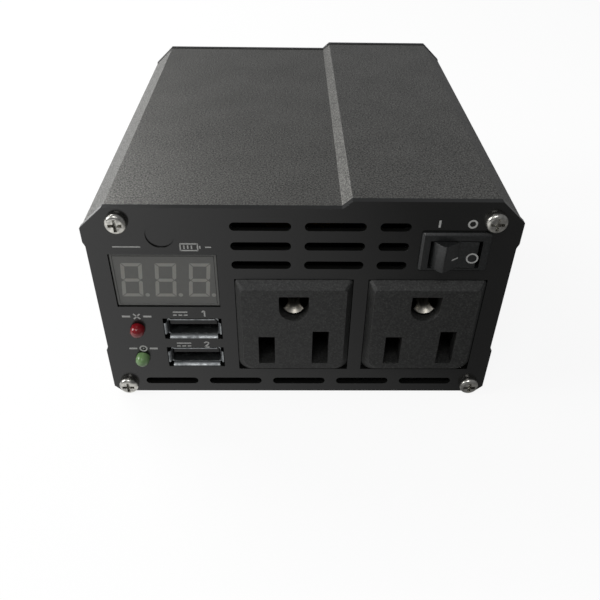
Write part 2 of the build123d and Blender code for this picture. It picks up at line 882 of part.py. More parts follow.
def heat_sink(side):
    """Finned bar that stands on the board beside a case wall."""
    inner = side * sink_x
    along = (sink_front, sink_front + sink_length)
    sink = block(sorted((inner, inner - side * sink_base)), along, (board_top, board_top + sink_height))
    fin_pitch = sink_height / sink_fin_count
    across = sorted((inner, inner + side * sink_fin_length))
    for index in range(sink_fin_count):
        z = board_top + (index + 0.5) * fin_pitch
        sink += block(across, along, (z - sink_fin_thickness / 2, z + sink_fin_thickness / 2))
    for y in transistor_rows():
        hole = rod_x(sink_screw_radius + press_gap, -sink_base, sink_base, y, transistor_screw_height())
        sink -= Pos(inner - side * sink_base / 2, 0, 0) * hole
    return sink


def transistor_rows():
    middle = sink_front + sink_length / 2
    first = middle - (transistor_count - 1) / 2 * transistor_pitch
    return [first + index * transistor_pitch for index in range(transistor_count)]


def transistor_screw_height():
    return board_top + transistor_lift + transistor_tall + tab_tall / 2


def transistors(side):
    """Row of power transistors with metal tabs, standing on their three leads."""
    face = side * (sink_x - sink_base - pad_thickness)
    pieces = []
    for y in transistor_rows():
        low = board_top + transistor_lift
        body_x = sorted((face - side * tab_thickness, face - side * transistor_thickness))
        tab_x = sorted((face, face - side * tab_thickness))
        wide = (y - transistor_width / 2, y + transistor_width / 2)
        body = block(body_x, wide, (low, low + transistor_tall))
        tab = block(tab_x, wide, (low, low + transistor_tall + tab_tall))
        hole = rod_x(tab_hole_radius, -tab_thickness, tab_thickness, y, transistor_screw_height())
        tab -= Pos(face - side * tab_thickness / 2, 0, 0) * hole
        piece = body + tab
        for index in (-1, 0, 1):
            lead_y = y + index * transistor_lead_pitch
            lead_x = face - side * (tab_thickness + transistor_lead_offset)
            across = (lead_x - transistor_lead_thickness / 2, lead_x + transistor_lead_thickness / 2)
            width = (lead_y - transistor_lead_width / 2, lead_y + transistor_lead_width / 2)
            piece += block(across, width, (board_top, low))
        pieces.append(piece)
    return group(*pieces)


def insulating_pads():
    """Thin pads between the transistors and both heat sinks."""
    pads = []
    for side in (-1, 1):
        face = side * (sink_x - sink_base)
        across = sorted((face, face - side * pad_thickness))
        for y in transistor_rows():
            low = board_top + transistor_lift - pad_end_margin
            high = low + transistor_tall + tab_tall + 2 * pad_end_margin
            half = transistor_width / 2 + pad_side_margin
            pad = block(across, (y - half, y + half), (low, high))
            hole = rod_x(tab_hole_radius, -tab_thickness, tab_thickness, y, transistor_screw_height())
            pad -= Pos(face, 0, 0) * hole
            pads.append(pad)
    return group(*pads)


def sink_screws():
    """Screws that hold the transistors' tabs on the heat sinks."""
    screws = []
    screw = pan_screw(sink_screw_head_radius, sink_screw_head_height, sink_screw_radius, sink_screw_length)
    for side in (-1, 1):
        seat = side * (sink_x - sink_base - pad_thickness - tab_thickness)
        for y in transistor_rows():
            screws.append(Pos(seat, y, transistor_screw_height()) * Rot(0, 0, -90 * side) * screw)
    return group(*screws)


def core_limits():
    low = board_top + core_lift
    return (transformer_x - core_width / 2, transformer_x + core_width / 2), (low, low + core_tall)


def transformer_core():
    """Two E-shaped ferrite halves that meet at mid height."""
    across, tall = core_limits()
    half_depth = core_depth / 2
    middle = (tall[0] + tall[1]) / 2
    along = (transformer_y - half_depth, transformer_y + half_depth)
    window = (core_width - 2 * core_leg - core_centre_leg) / 2
    halves = []
    for end, yoke in ((tall[0], tall[0] + core_leg), (tall[1], tall[1] - core_leg)):
        piece = block(across, along, sorted((end, middle)))
        gap_z = sorted((yoke, middle))
        for side in (-1, 1):
            near = transformer_x + side * core_centre_leg / 2
            piece -= block(sorted((near, near + side * window)), along, gap_z)
        halves.append(piece)
    return group(*halves)


def transformer_bobbin():
    """Moulded former around the centre leg, with two cheeks and pins down to the board."""
    across, tall = core_limits()
    half_x = core_centre_leg / 2 + slide_gap
    half_y = core_depth / 2 + slide_gap
    low = tall[0] + core_leg + slide_gap
    high = tall[1] - core_leg - slide_gap
    reach_x = core_width / 2 - core_leg - slide_gap
    reach_y = half_y + bobbin_wall + winding_thickness + bobbin_margin
    centre = Pos(transformer_x, transformer_y)
    tube = Rectangle(2 * (half_x + bobbin_wall), 2 * (half_y + bobbin_wall))
    cheek = Rectangle(2 * reach_x, 2 * reach_y)
    hole = Rectangle(2 * half_x, 2 * half_y)
    former = Pos(0, 0, low) * extrude(centre * (tube - hole), amount=high - low)
    for z in (low, high - bobbin_wall):
        former += Pos(0, 0, z) * extrude(centre * (cheek - hole), amount=bobbin_wall)
    for side in (-1, 1):
        y = transformer_y + side * (reach_y - bobbin_pin_inset)
        for index in range(bobbin_pin_count):
            x = transformer_x + (index - (bobbin_pin_count - 1) / 2) * bobbin_pin_pitch
            former += rod_z(bobbin_pin_radius, board_top, low, x, y)
    return former


def transformer_winding():
    across, tall = core_limits()
    half_x = core_centre_leg / 2 + slide_gap + bobbin_wall + press_gap
    half_y = core_depth / 2 + slide_gap + bobbin_wall + press_gap
    low = tall[0] + core_leg + slide_gap + bobbin_wall + press_gap
    high = tall[1] - core_leg - slide_gap - bobbin_wall - press_gap
    side_room = core_width / 2 - core_leg - half_x - slide_gap
    outer = RectangleRounded(2 * (half_x + side_room), 2 * (half_y + winding_thickness), winding_corner)
    ring = Pos(transformer_x, transformer_y) * (outer - Rectangle(2 * half_x, 2 * half_y))
    return Pos(0, 0, low) * extrude(ring, amount=high - low)


def can_capacitor(radius, tall, x, y):
    """Electrolytic capacitor: rolled can with a groove near its foot."""
    can = rod_z(radius, board_top, board_top + tall, x, y)
    can = fillet(can.edges().filter_by(GeomType.CIRCLE), can_rounding)
    groove = Pos(x, y, board_top + can_groove_height) * Torus(radius + can_groove_offset, can_groove_radius)
    return can - groove


def fuses():
    """Blade fuses in their clips."""
    width, length, tall = fuse_size
    rim_x, rim_y, rim_tall = fuse_head_rim
    blade_thick, blade_wide = fuse_blade
    y = fuse_place[1]
    pieces = []
    for index in range(fuse_count):
        centre = Pos(fuse_place[0] + index * fuse_pitch, y, board_top)
        piece = block((-width / 2, width / 2), (-length / 2, length / 2), (fuse_foot, tall))
        half_x = width / 2 + rim_x
        half_y = length / 2 + rim_y
        piece += block((-half_x, half_x), (-half_y, half_y), (tall - rim_tall, tall))
        for side in (-1, 1):
            middle = side * length * fuse_blade_share
            along = (middle - blade_wide / 2, middle + blade_wide / 2)
            piece += block((-blade_thick / 2, blade_thick / 2), along, (0, fuse_foot))
        pieces.append(centre * piece)
    return group(*pieces)


def control_board():
    """Small upright board with the two control chips."""
    x, y = control_board_place
    thick, length, tall = control_board_size
    chip_thick, chip_long, chip_tall = control_chip
    half = thick / 2
    board = block((x - half, x + half), (y - length / 2, y + length / 2), (board_top, board_top + tall))
    chips = []
    for level in control_chip_levels:
        z = board_top + tall * level
        along = (y - chip_long / 2, y + chip_long / 2)
        chips.append(block((x + half, x + half + chip_thick), along, (z - chip_tall / 2, z + chip_tall / 2)))
    return group(board, *chips)


def output_choke():
    x, y = choke_place
    return Pos(x, y, board_top + choke_wire_radius) * Torus(choke_radius, choke_wire_radius)


def fan_screw_places():
    half = fan_hole_pitch / 2
    return [(fan_centre[0] + sx * half, fan_centre[1] + sz * half) for sx in (-1, 1) for sz in (-1, 1)]


def fan_frame():
    """Square fan frame with a round bore; its motor plate and struts are on the inner side."""
    near = inner_back - fan_depth
    square = Pos(*fan_centre) * RectangleRounded(fan_size, fan_size, fan_corner)
    square -= Pos(*fan_centre) * Circle(fan_bore_radius)
    for x, z in fan_screw_places():
        square -= Pos(x, z) * Circle(fan_hole_radius)
    frame = plate(square, near, inner_back)
    frame += rod_y(hub_radius, near, near + motor_plate, *fan_centre)
    for angle in (0, 90, 180, 270):
        strut = Pos(*fan_centre) * Rot(0, 0, angle + strut_turn) * Pos((hub_radius + fan_bore_radius) / 2, 0)
        strut = strut * Rectangle(fan_bore_radius - hub_radius + 2 * strut_overlap, strut_width)
        frame += plate(strut, near, near + motor_plate)
    return frame - rod_y(shaft_radius + press_gap, near, near + motor_plate, *fan_centre)


def fan_impeller():
    """Pitched blades on a cup-shaped hub, with the shaft that turns in the motor plate."""
    near = inner_back - fan_depth + motor_plate + rotor_gap
    far = near + hub_depth - rotor_gap
    x, z = fan_centre
    outer = hub_radius - hub_inset
    cup_floor = near + hub_depth * hub_cup_share
    hub = rod_y(outer, near, far, x, z)
    hub = fillet(hub.edges().filter_by(GeomType.CIRCLE).sort_by(Axis.Y)[-1], hub_rounding)
    hub -= rod_y(outer - hub_wall, near, cup_floor, x, z)
    hub += rod_y(shaft_radius, near - rotor_gap - motor_plate, cup_floor, x, z)
    tip = fan_bore_radius - blade_tip_gap
    ring = Circle(tip) - Circle(hub_radius - blade_root_overlap)
    sweep_space = plate(Pos(x, z) * ring, near, far)
    blade = Rot(blade_angle, 0, 0) * Box(tip, blade_chord, blade_thickness)
    for index in range(blade_count):
        turn = Rot(0, index * 360 / blade_count, 0) * Pos((tip + hub_radius) / 2, 0, 0)
        hub += (Pos(x, (near + far) / 2, z) * turn * blade) & sweep_space
    return hub


def fan_guard():
    """Guard of round wire: rings welded on four arms that end in eyes under the fan screws."""
    arm_y = back + guard_wire_radius + press_gap
    x, z = fan_centre
    reach = fan_hole_pitch / 2 * math.sqrt(2)
    inner_end = guard_ring_radii[0] - guard_arm_overlap
    outer_end = reach - guard_eye_radius
    arm = Cylinder(guard_wire_radius, outer_end - inner_end)
    spoke = Pos((inner_end + outer_end) / 2, 0, 0) * Rot(0, 90, 0) * arm
    spoke += Pos(reach, 0, 0) * Rot(90, 0, 0) * Torus(guard_eye_radius, guard_wire_radius)
    guard = Part()
    for angle in (45, 135, 225, 315):
        guard += Pos(x, arm_y, z) * Rot(0, angle, 0) * spoke
    for radius in guard_ring_radii:
        guard += Pos(x, arm_y + guard_ring_lift, z) * Rot(90, 0, 0) * Torus(radius, guard_wire_radius)
    return guard


def fan_screws():
    seat = back + 2 * guard_wire_radius + 2 * press_gap
    near = inner_back - fan_depth
    length = seat - near + nut_thickness + fan_screw_spare
    screw = pan_screw(fan_screw_head_radius, fan_screw_head_height, fan_screw_radius, length)
    return group(*[Pos(x, seat, z) * Rot(0, 0, 180) * screw for x, z in fan_screw_places()])


def nut(across_flats, near, thickness, bore, x, z):
    return hexagon_y(across_flats, near, near + thickness, x, z) - rod_y(bore, near, near + thickness, x, z)


def fan_nuts():
    near = inner_back - fan_depth - nut_thickness
    bore = fan_screw_radius + press_gap
    return group(*[nut(nut_across_flats, near, nut_thickness, bore, x, z) for x, z in fan_screw_places()])


def post_bushing(x):
    """Two insulating collars that clamp the rear plate around a stud."""
    bore = stud_radius + press_gap
    outer = rod_y(bushing_radius, back, back + bushing_flange, x, post_height)
    outer += rod_y(stud_hole_radius, inner_back, back, x, post_height)
    outer -= rod_y(bore, inner_back, back + bushing_flange, x, post_height)
    inner = rod_y(bushing_radius - bushing_step, inner_back - bushing_inner, inner_back, x, post_height)
    inner -= rod_y(bore, inner_back - bushing_inner, inner_back, x, post_height)
    return group(outer, inner)


def post_stud(x):
    """Brass stud with rounded ends."""
    end = knob_near() + knob_length - knob_cap - stud_end_gap
    stud = rod_y(stud_radius, inner_back - stud_inside, end, x, post_height)
    return chamfer(stud.edges().filter_by(GeomType.CIRCLE), stud_chamfer)


def post_nuts(x):
    """A nut outside against the bushing and one inside against the strap."""
    bore = stud_radius + press_gap
    outside = nut(post_nut_flats, back + bushing_flange, post_nut_thickness, bore, x, post_height)
    strap_near = inner_back - bushing_inner - strap_thickness
    inside = nut(post_nut_flats, strap_near - post_nut_thickness, post_nut_thickness, bore, x, post_height)
    return group(outside, inside)


def washer_near():
    return back + bushing_flange + post_nut_thickness


def knob_near():
    return washer_near() + washer_thickness


def post_washer(x):
    near = washer_near()
    washer = rod_y(washer_radius, near, near + washer_thickness, x, post_height)
    return washer - rod_y(stud_radius + press_gap, near, near + washer_thickness, x, post_height)


def post_knob(x):
    """Fluted thumb nut with a closed end; it winds out along the stud."""
    near = knob_near()
    far = near + knob_length
    knob = rod_y(knob_radius, near, far, x, post_height)
    knob = fillet(knob.edges().filter_by(GeomType.CIRCLE).sort_by(Axis.Y)[-1], knob_rounding)
    flute_circle = knob_radius + knob_flute_offset
    for index in range(knob_flute_count):
        angle = 2 * math.pi * index / knob_flute_count
        flute_x = x + flute_circle * math.cos(angle)
        flute_z = post_height + flute_circle * math.sin(angle)
        knob -= rod_y(knob_flute_radius, near + knob_flute_start, far + knob_cap, flute_x, flute_z)
    return knob - rod_y(stud_radius + press_gap, near, far - knob_cap, x, post_height)


def bus_strap(x):
    """Bent copper strap from a stud down to the main board."""
    far = inner_back - bushing_inner
    near = far - strap_thickness
    across = (x - strap_width / 2, x + strap_width / 2)
    board_end = board_limits()[1][1]
    strap = block(across, (near, far), (board_top, post_height + strap_width / 2))
    strap += block(across, (board_end - strap_landing, far), (board_top, board_top + strap_thickness))
    return strap - rod_y(stud_radius + press_gap, near, far, x, post_height)


def earth_screw():
    """Earthing screw through the rear plate, with its nut inside."""
    x, z = earth_place
    length = plate_thickness + earth_screw_reach
    screw = pan_screw(earth_head_radius, earth_head_height, earth_screw_radius, length)
    screw = Pos(x, back, z) * Rot(0, 0, 180) * screw
    near = inner_back - earth_nut_thickness
    lock = nut(earth_nut_flats, near, earth_nut_thickness, earth_screw_radius + press_gap, x, z)
    return group(screw, lock)


def lead(points):
    """A round insulated lead along straight runs with rounded corners."""
    path = FilletPolyline(*points, radius=lead_bend)
    start = Plane(origin=path @ 0, z_dir=path % 0)
    return sweep(start * Circle(lead_radius), path=path)


def switch_leads():
    """Two leads from the switch's terminals, back over the outlet and down to the board."""
    terminal_end = front + switch_body_depth + terminal_length
    leads = []
    y = outlet_back + switch_lead_gap
    for x in terminal_places():
        points = [(x, terminal_end, rocker_height), (x, y, rocker_height), (x, y, board_top)]
        leads.append(lead(points))
    return group(*leads)


def fan_leads():
    """Two leads from the fan's motor plate down to the board."""
    near = inner_back - fan_depth
    leads = []
    for side in (-1, 1):
        x = fan_centre[0] + side * fan_lead_pitch / 2
        y = near - fan_lead_reach
        z = fan_centre[1] - fan_lead_drop
        points = [(x, near, z), (x, y, z), (x, y, board_top)]
        leads.append(lead(points))
    return group(*leads)


os.makedirs("parts", exist_ok=True)

save("top_cover", top_cover())
save("bottom_tray", bottom_tray())
save("front_panel", front_plate())
save("rear_panel", rear_plate())
save("front_screws", plate_screws(front, 1))
save("rear_screws", plate_screws(back, -1))
for side_name, outlet_x in outlet_centres.items():
    save(f"{side_name}_outlet_body", outlet_body(outlet_x))
    save(f"{side_name}_outlet_contacts", outlet_contacts(outlet_x))
save("outlet_caps", group(*[outlet_cap(x) for x in outlet_centres.values()]))
save("display_case", display_case())
save("display_face", display_face())
save("display_segments", display_segments())
save("display_pins", display_pins())
save("fault_lamp", lamp(fault_lamp_height))
save("power_lamp", lamp(power_lamp_height))
save("lamp_leads", lamp_leads())
for level_name, usb_z in usb_heights.items():
    save(f"{level_name}_usb_shell", usb_shell(usb_z))
    save(f"{level_name}_usb_tongue", usb_tongue(usb_z))
save("usb_pins", group(*[usb_pins(z) for z in usb_heights.values()]))
save("front_board", front_board())
save("switch_housing", switch_housing())
save("switch_rocker", rocker())
save("switch_lever", contact_lever())
save("switch_terminals", switch_terminals())
save("main_board", main_board())
for side_name, side_sign in (("left", -1), ("right", 1)):
    save(f"{side_name}_heat_sink", heat_sink(side_sign))
    save(f"{side_name}_transistors", transistors(side_sign))
save("insulating_pads", insulating_pads())
save("sink_screws", sink_screws())
save("transformer_core", transformer_core())
save("transformer_bobbin", transformer_bobbin())
save("transformer_winding", transformer_winding())
save("input_capacitors", group(*[can_capacitor(input_capacitor_radius, input_capacitor_tall, x, y)
                                 for x, y in input_capacitor_places]))
bulk_place = (bulk_capacitor_x, outlet_back + bulk_capacitor_clearance + bulk_capacitor_radius)
save("bulk_capacitor", can_capacitor(bulk_capacitor_radius, bulk_capacitor_tall, *bulk_place))
save("output_choke", output_choke())
save("fuses", fuses())
save("control_board", control_board())
save("fan_frame", fan_frame())
save("fan_impeller", fan_impeller())
save("fan_guard", fan_guard())
save("fan_screws", fan_screws())
save("fan_nuts", fan_nuts())
for post_name, post_x in post_places.items():
    save(f"{post_name}_bushing", post_bushing(post_x))
    save(f"{post_name}_washer", post_washer(post_x))
    save(f"{post_name}_knob", post_knob(post_x))
save("post_studs", group(*[post_stud(x) for x in post_places.values()]))
save("post_nuts", group(*[post_nuts(x) for x in post_places.values()]))
save("bus_straps", group(*[bus_strap(x) for x in post_places.values()]))
save("earth_screw", earth_screw())
save("switch_leads", switch_leads())
save("fan_leads", fan_leads())
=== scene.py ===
import math

import bmesh
import bpy
from mathutils import Matrix, Vector
from mathutils.bvhtree import BVHTree


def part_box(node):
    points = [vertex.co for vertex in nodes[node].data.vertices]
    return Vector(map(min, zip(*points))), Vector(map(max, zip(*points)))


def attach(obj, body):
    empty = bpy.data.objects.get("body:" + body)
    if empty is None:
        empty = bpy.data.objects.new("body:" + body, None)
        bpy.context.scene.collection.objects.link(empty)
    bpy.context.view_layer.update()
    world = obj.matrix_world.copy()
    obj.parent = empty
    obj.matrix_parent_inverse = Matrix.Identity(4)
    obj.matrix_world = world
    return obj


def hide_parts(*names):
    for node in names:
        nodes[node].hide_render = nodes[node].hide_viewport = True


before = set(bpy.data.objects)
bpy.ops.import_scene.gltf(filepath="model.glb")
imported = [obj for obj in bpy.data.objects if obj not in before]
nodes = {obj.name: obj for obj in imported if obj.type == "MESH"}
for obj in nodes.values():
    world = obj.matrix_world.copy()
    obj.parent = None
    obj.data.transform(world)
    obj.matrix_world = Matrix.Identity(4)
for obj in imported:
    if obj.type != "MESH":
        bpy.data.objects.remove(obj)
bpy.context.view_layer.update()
mm = 0.001

# ---- Camera
# It stands in front of the inverter and looks down on it, a little to the left of the middle.
# A real camera's small tilt to one side is kept.
panel_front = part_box("front_panel")[0].y
camera_spot = Vector((-2.95 * mm, panel_front - 117.7 * mm, 122.1 * mm))
camera_aim = Vector((-0.2 * mm, panel_front + 2.5 * mm, 27.5 * mm))
camera_tilt = math.radians(1.0)
camera = bpy.data.objects.new("camera", bpy.data.cameras.new("camera"))
camera.data.lens = 39.4
camera.data.sensor_width = 36.0
camera.data.clip_start = 0.01
looking = (camera_aim - camera_spot).to_track_quat("-Z", "Y").to_matrix()
turned = looking @ Matrix.Rotation(camera_tilt, 3, "Z")
camera.matrix_world = Matrix.Translation(camera_spot) @ turned.to_4x4()
bpy.context.scene.collection.objects.link(camera)
bpy.context.scene.camera = camera
bpy.context.scene.view_settings.view_transform = "Standard"


# ---- World and floor
# A white paper sweep under and behind the object: seen directly it is white, and the object's
# soft shadow darkens it.
def linear(hex_colour):
    """An sRGB hex colour as linear red, green, blue and alpha."""
    channels = [int(hex_colour[i:i + 2], 16) / 255 for i in (1, 3, 5)]
    return [c / 12.92 if c <= 0.04045 else ((c + 0.055) / 1.055) ** 2.4 for c in channels] + [1.0]


def add(tree, kind, inputs=None, **settings):
    """Adds a node with its settings, and links or sets its inputs by name or number."""
    node = tree.nodes.new(kind)
    for name, value in settings.items():
        setattr(node, name, value)
    for name, value in (inputs or {}).items():
        socket = node.inputs[name]
        if isinstance(value, bpy.types.NodeSocket):
            tree.links.new(value, socket)
        else:
            socket.default_value = value
    return node


world = bpy.data.worlds.new("paper_sweep")
world.use_nodes = True
bpy.context.scene.world = world
world_tree = world.node_tree
world_tree.nodes.clear()
path = add(world_tree, "ShaderNodeLightPath")
# the room is dim and faintly blue, and only the eye finds it white
room_light = add(world_tree, "ShaderNodeBackground", {"Color": linear("#f0f2f6"), "Strength": 0.25})
white_paper = add(world_tree, "ShaderNodeBackground", {"Color": linear("#ffffff"), "Strength": 1.0})
world_mix = add(world_tree, "ShaderNodeMixShader", {
    0: path.outputs["Is Camera Ray"], 1: room_light.outputs[0], 2: white_paper.outputs[0]})
add(world_tree, "ShaderNodeOutputWorld", {"Surface": world_mix.outputs[0]})

floor_half = 3.0
floor_mesh = bmesh.new()
bmesh.ops.create_grid(floor_mesh, x_segments=1, y_segments=1, size=floor_half)
floor_data = bpy.data.meshes.new("floor")
floor_mesh.to_mesh(floor_data)
floor = bpy.data.objects.new("floor", floor_data)
bpy.context.scene.collection.objects.link(floor)
paper = bpy.data.materials.new("matt_white_paper")
paper.use_nodes = True
paper_tree = paper.node_tree
paper_tree.nodes.clear()
path = add(paper_tree, "ShaderNodeLightPath")
# The eye finds white paper with a soft shadow on it: most of the white is the paper's own, and
# the rest is lit, which takes the shadow. In a mirroring surface the sheet shows a painted glow,
# brightest at the left and falling off to the right: painted light that stands in for light from
# the left. What it throws up on the object is grey.
own_white = 0.9
# painted light: where the glow seen in reflections is brightest and dimmest, and its strength there
painted_glow_left_edge, painted_glow_right_edge = -0.08, 0.045
painted_glow_left, painted_glow_right = 1.25, 0.2
mirrored = add(paper_tree, "ShaderNodeMath", {
    0: path.outputs["Is Glossy Ray"], 1: path.outputs["Is Transmission Ray"]}, operation="MAXIMUM").outputs[0]
seen = add(paper_tree, "ShaderNodeMath", {0: path.outputs["Is Camera Ray"], 1: own_white},
           operation="MULTIPLY").outputs[0]
share = add(paper_tree, "ShaderNodeMath", {0: mirrored, 1: seen}, operation="MAXIMUM").outputs[0]
spot = add(paper_tree, "ShaderNodeTexCoord").outputs["Object"]
sideways = add(paper_tree, "ShaderNodeSeparateXYZ", {0: spot}).outputs["X"]
falloff = add(paper_tree, "ShaderNodeMapRange", {
    "Value": sideways, "From Min": painted_glow_left_edge, "From Max": painted_glow_right_edge,
    "To Min": painted_glow_left, "To Max": painted_glow_right}).outputs[0]
strength = add(paper_tree, "ShaderNodeMix", {0: mirrored, 2: 1.0, 3: falloff}).outputs[0]
sheet = add(paper_tree, "ShaderNodeMix", {
    0: path.outputs["Is Camera Ray"], 6: linear("#8e8e8c"), 7: linear("#f6f6f5")}, data_type="RGBA").outputs[2]
lit_paper = add(paper_tree, "ShaderNodeBsdfDiffuse", {"Color": sheet})
bright_paper = add(paper_tree, "ShaderNodeEmission", {"Color": linear("#ffffff"), "Strength": strength})
paper_mix = add(paper_tree, "ShaderNodeMixShader",
                {0: share, 1: lit_paper.outputs[0], 2: bright_paper.outputs[0]})
add(paper_tree, "ShaderNodeOutputMaterial", {"Surface": paper_mix.outputs[0]})
floor_data.materials.append(paper)


# ---- Lamps
# Soft boxes: the main one behind on the left, which makes the left of the cover the lightest;
# a small one above the camera, which finds the metal in the outlets and the screws' recesses;
# and a third low at the left, which keeps the shadows open.
def soft_box(name, spot, width, height, power):
    """A rectangular lamp, in metres and watts, turned to the middle of the object."""
    aim = Vector((0.0, 0.0, 0.03))
    lamp = bpy.data.objects.new(name, bpy.data.lights.new(name, "AREA"))
    lamp.data.shape = "RECTANGLE"
    lamp.data.size = width
    lamp.data.size_y = height
    lamp.data.energy = power
    lamp.location = spot
    lamp.rotation_mode = "QUATERNION"
    lamp.rotation_quaternion = (aim - Vector(spot)).to_track_quat("-Z", "Y")
    bpy.context.scene.collection.objects.link(lamp)


soft_box("back_left_box", (-0.45, 0.40, 0.5), 0.45, 0.3, 3.6)
soft_box("front_top_box", (-0.12, -0.42, 0.62), 0.3, 0.2, 1.4)
soft_box("left_box", (-0.62, -0.1, 0.36), 0.3, 0.3, 2.6)


# ---- Aluminium cover and tray
# Two lengths of aluminium extrusion, bead-blasted and anodised dark grey; the tray's tongues stand
# inside the cover. The blasting leaves a fine even grain whose facets glint one by one.
def material(name, surface, **values):
    """A material of that name whose surface function gives the shader's inputs."""
    made = bpy.data.materials.new(name)
    made.use_nodes = True
    tree = made.node_tree
    tree.nodes.clear()
    place = add(tree, "ShaderNodeTexCoord").outputs["Object"]
    shader = add(tree, "ShaderNodeBsdfPrincipled", surface(tree, place, **values))
    add(tree, "ShaderNodeOutputMaterial", {"Surface": shader.outputs[0]})
    return made


def round_edges(piece, edge_mm):
    """The small radius that every real edge has.

    Doubled vertices and the triangles of each flat face are merged first, so that the bevel
    meets only real edges.
    """
    weld = piece.modifiers.new("weld", "WELD")
    weld.merge_threshold = 0.002 * mm
    flat = piece.modifiers.new("whole_faces", "DECIMATE")
    flat.decimate_type = "DISSOLVE"
    flat.angle_limit = math.radians(0.5)
    bevel = piece.modifiers.new("edge_radius", "BEVEL")
    bevel.width = edge_mm * mm
    bevel.segments = 2
    bevel.limit_method = "ANGLE"
    bevel.angle_limit = math.radians(35)
    bevel.harden_normals = True


def finish_node(name, surface, edge_mm=0.0):
    """Gives a carried-over piece its material and, where it has one, its edge radius."""
    piece = nodes[name]
    piece.data.materials.clear()
    piece.data.materials.append(surface)
    if edge_mm:
        round_edges(piece, edge_mm)


def blasted_anodising(tree, place, dark, light, grain_mm, patch_mm):
    """Facets from dark to light, each a little tilted, with slow patches between.

    Real blasting leaves grains under 0.1 mm. They are too fine to show from the camera's
    distance, so they are drawn coarser.
    """
    grit = add(tree, "ShaderNodeTexNoise",
               {"Vector": place, "Scale": 1000 / grain_mm, "Detail": 1.5}).outputs["Fac"]
    patches = add(tree, "ShaderNodeTexNoise",
                  {"Vector": place, "Scale": 1000 / patch_mm, "Detail": 2.0}).outputs["Fac"]
    patch_share = 0.1
    both = add(tree, "ShaderNodeMath", {0: patches, 1: patch_share, 2: grit},
               operation="MULTIPLY_ADD").outputs[0]
    facet = add(tree, "ShaderNodeMapRange", {"Value": both, "From Min": 0.38, "From Max": 0.75}).outputs[0]
    colour = add(tree, "ShaderNodeMix", {0: facet, 6: linear(dark), 7: linear(light)},
                 data_type="RGBA").outputs[2]
    rough = add(tree, "ShaderNodeMapRange", {"Value": facet, "To Min": 0.5, "To Max": 0.36}).outputs[0]
    bump = add(tree, "ShaderNodeBump", {"Height": grit, "Distance": 0.06 * mm, "Strength": 0.6}).outputs[0]
    return {"Base Color": colour, "Metallic": 0.8, "Roughness": rough, "Normal": bump}


# Dark grey with light grains: the eye reads bare blasted metal under a thin grey skin.
anodised_aluminium = material("blasted_anodised_aluminium", blasted_anodising,
                              dark="#3c3c3a", light="#8a8985", grain_mm=0.345, patch_mm=11.1)
finish_node("top_cover", anodised_aluminium, 0.25)
finish_node("bottom_tray", anodised_aluminium, 0.2)


# ---- Front and rear panels
# Flat aluminium plates, punched and coated semi-gloss black. Each is held to the extrusions'
# screw channels by four pan-head screws.
def coated_metal(tree, place, dark, light, rough, ripple_mm, wear_mm):
    """Baked coating: nearly even in colour, with the faint ripple that blurs what it mirrors."""
    ripple = add(tree, "ShaderNodeTexNoise",
                 {"Vector": place, "Scale": 1000 / ripple_mm, "Detail": 2.0}).outputs["Fac"]
    wear = add(tree, "ShaderNodeTexNoise",
               {"Vector": place, "Scale": 1000 / wear_mm, "Detail": 3.0}).outputs["Fac"]
    colour = add(tree, "ShaderNodeMix", {0: ripple, 6: linear(dark), 7: linear(light)},
                 data_type="RGBA").outputs[2]
    rougher = add(tree, "ShaderNodeMapRange",
                  {"Value": wear, "To Min": rough - 0.04, "To Max": rough + 0.05}).outputs[0]
    bump = add(tree, "ShaderNodeBump",
               {"Height": ripple, "Distance": 0.012 * mm, "Strength": 0.3}).outputs[0]
    return {"Base Color": colour, "Roughness": rougher, "Normal": bump}


# Near black, and smooth enough to show the outlets' and the paper's blurred reflections.
panel_coat = material("black_powder_coat", coated_metal, dark="#10100f", light="#161615", rough=0.22,
                      ripple_mm=0.667, wear_mm=8.33)
finish_node("front_panel", panel_coat, 0.3)
finish_node("rear_panel", panel_coat, 0.3)


# ---- Printed marks
# Small light-grey signs screen-printed on both panels in one thin layer of ink: what each lamp,
# socket, switch side and post is for. They are only plain signs and numbers.
def prism(mesh, points, along):
    """Adds a solid in mm: the flat outline of points, drawn out along a vector."""
    face = mesh.faces.new([mesh.verts.new(Vector(point) * mm) for point in points])
    drawn = bmesh.ops.extrude_face_region(mesh, geom=[face])["geom"]
    moved = [part for part in drawn if isinstance(part, bmesh.types.BMVert)]
    bmesh.ops.translate(mesh, vec=Vector(along) * mm, verts=moved)


def piece_from(mesh, name, surface, body="case", replaced=(), edge_mm=0.0):
    """Turns a finished mesh into a named piece that rides on a body."""
    bmesh.ops.recalc_face_normals(mesh, faces=mesh.faces)
    data = bpy.data.meshes.new(name)
    mesh.to_mesh(data)
    mesh.free()
    data.shade_smooth()
    data.set_sharp_from_angle(angle=math.radians(35))
    data.materials.append(surface)
    piece = bpy.data.objects.new(name, data)
    bpy.context.scene.collection.objects.link(piece)
    if edge_mm:
        round_edges(piece, edge_mm)
    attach(piece, body)
    if replaced:
        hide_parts(*replaced)


def stroke(mesh, start, end, width, lift, out=Vector((0, -1, 0))):
    """One straight printed line between two points in mm, as thick as the lift."""
    start, end = Vector(start), Vector(end)
    side = (end - start).cross(out).normalized() * width / 2
    prism(mesh, [start - side, start + side, end + side, end - side], out * lift)


def ring(mesh, centre, radius, width, lift, out=Vector((0, -1, 0)), across=Vector((1, 0, 0))):
    """A printed ring: its small cross-section, spun once round the centre."""
    centre = Vector(centre)
    inner = centre + across * (radius - width / 2)
    outer = centre + across * (radius + width / 2)
    corners = (inner, outer, outer + out * lift, inner + out * lift)
    section = [mesh.verts.new(point * mm) for point in corners]
    edges = [mesh.edges.new((section[index - 1], section[index])) for index in range(4)]
    bmesh.ops.spin(mesh, geom=section + edges, cent=centre * mm, axis=out, angle=2 * math.pi,
                   steps=32, use_merge=True)


ink_lift = 0.03
front_y = panel_front / mm
front_marks = bmesh.new()

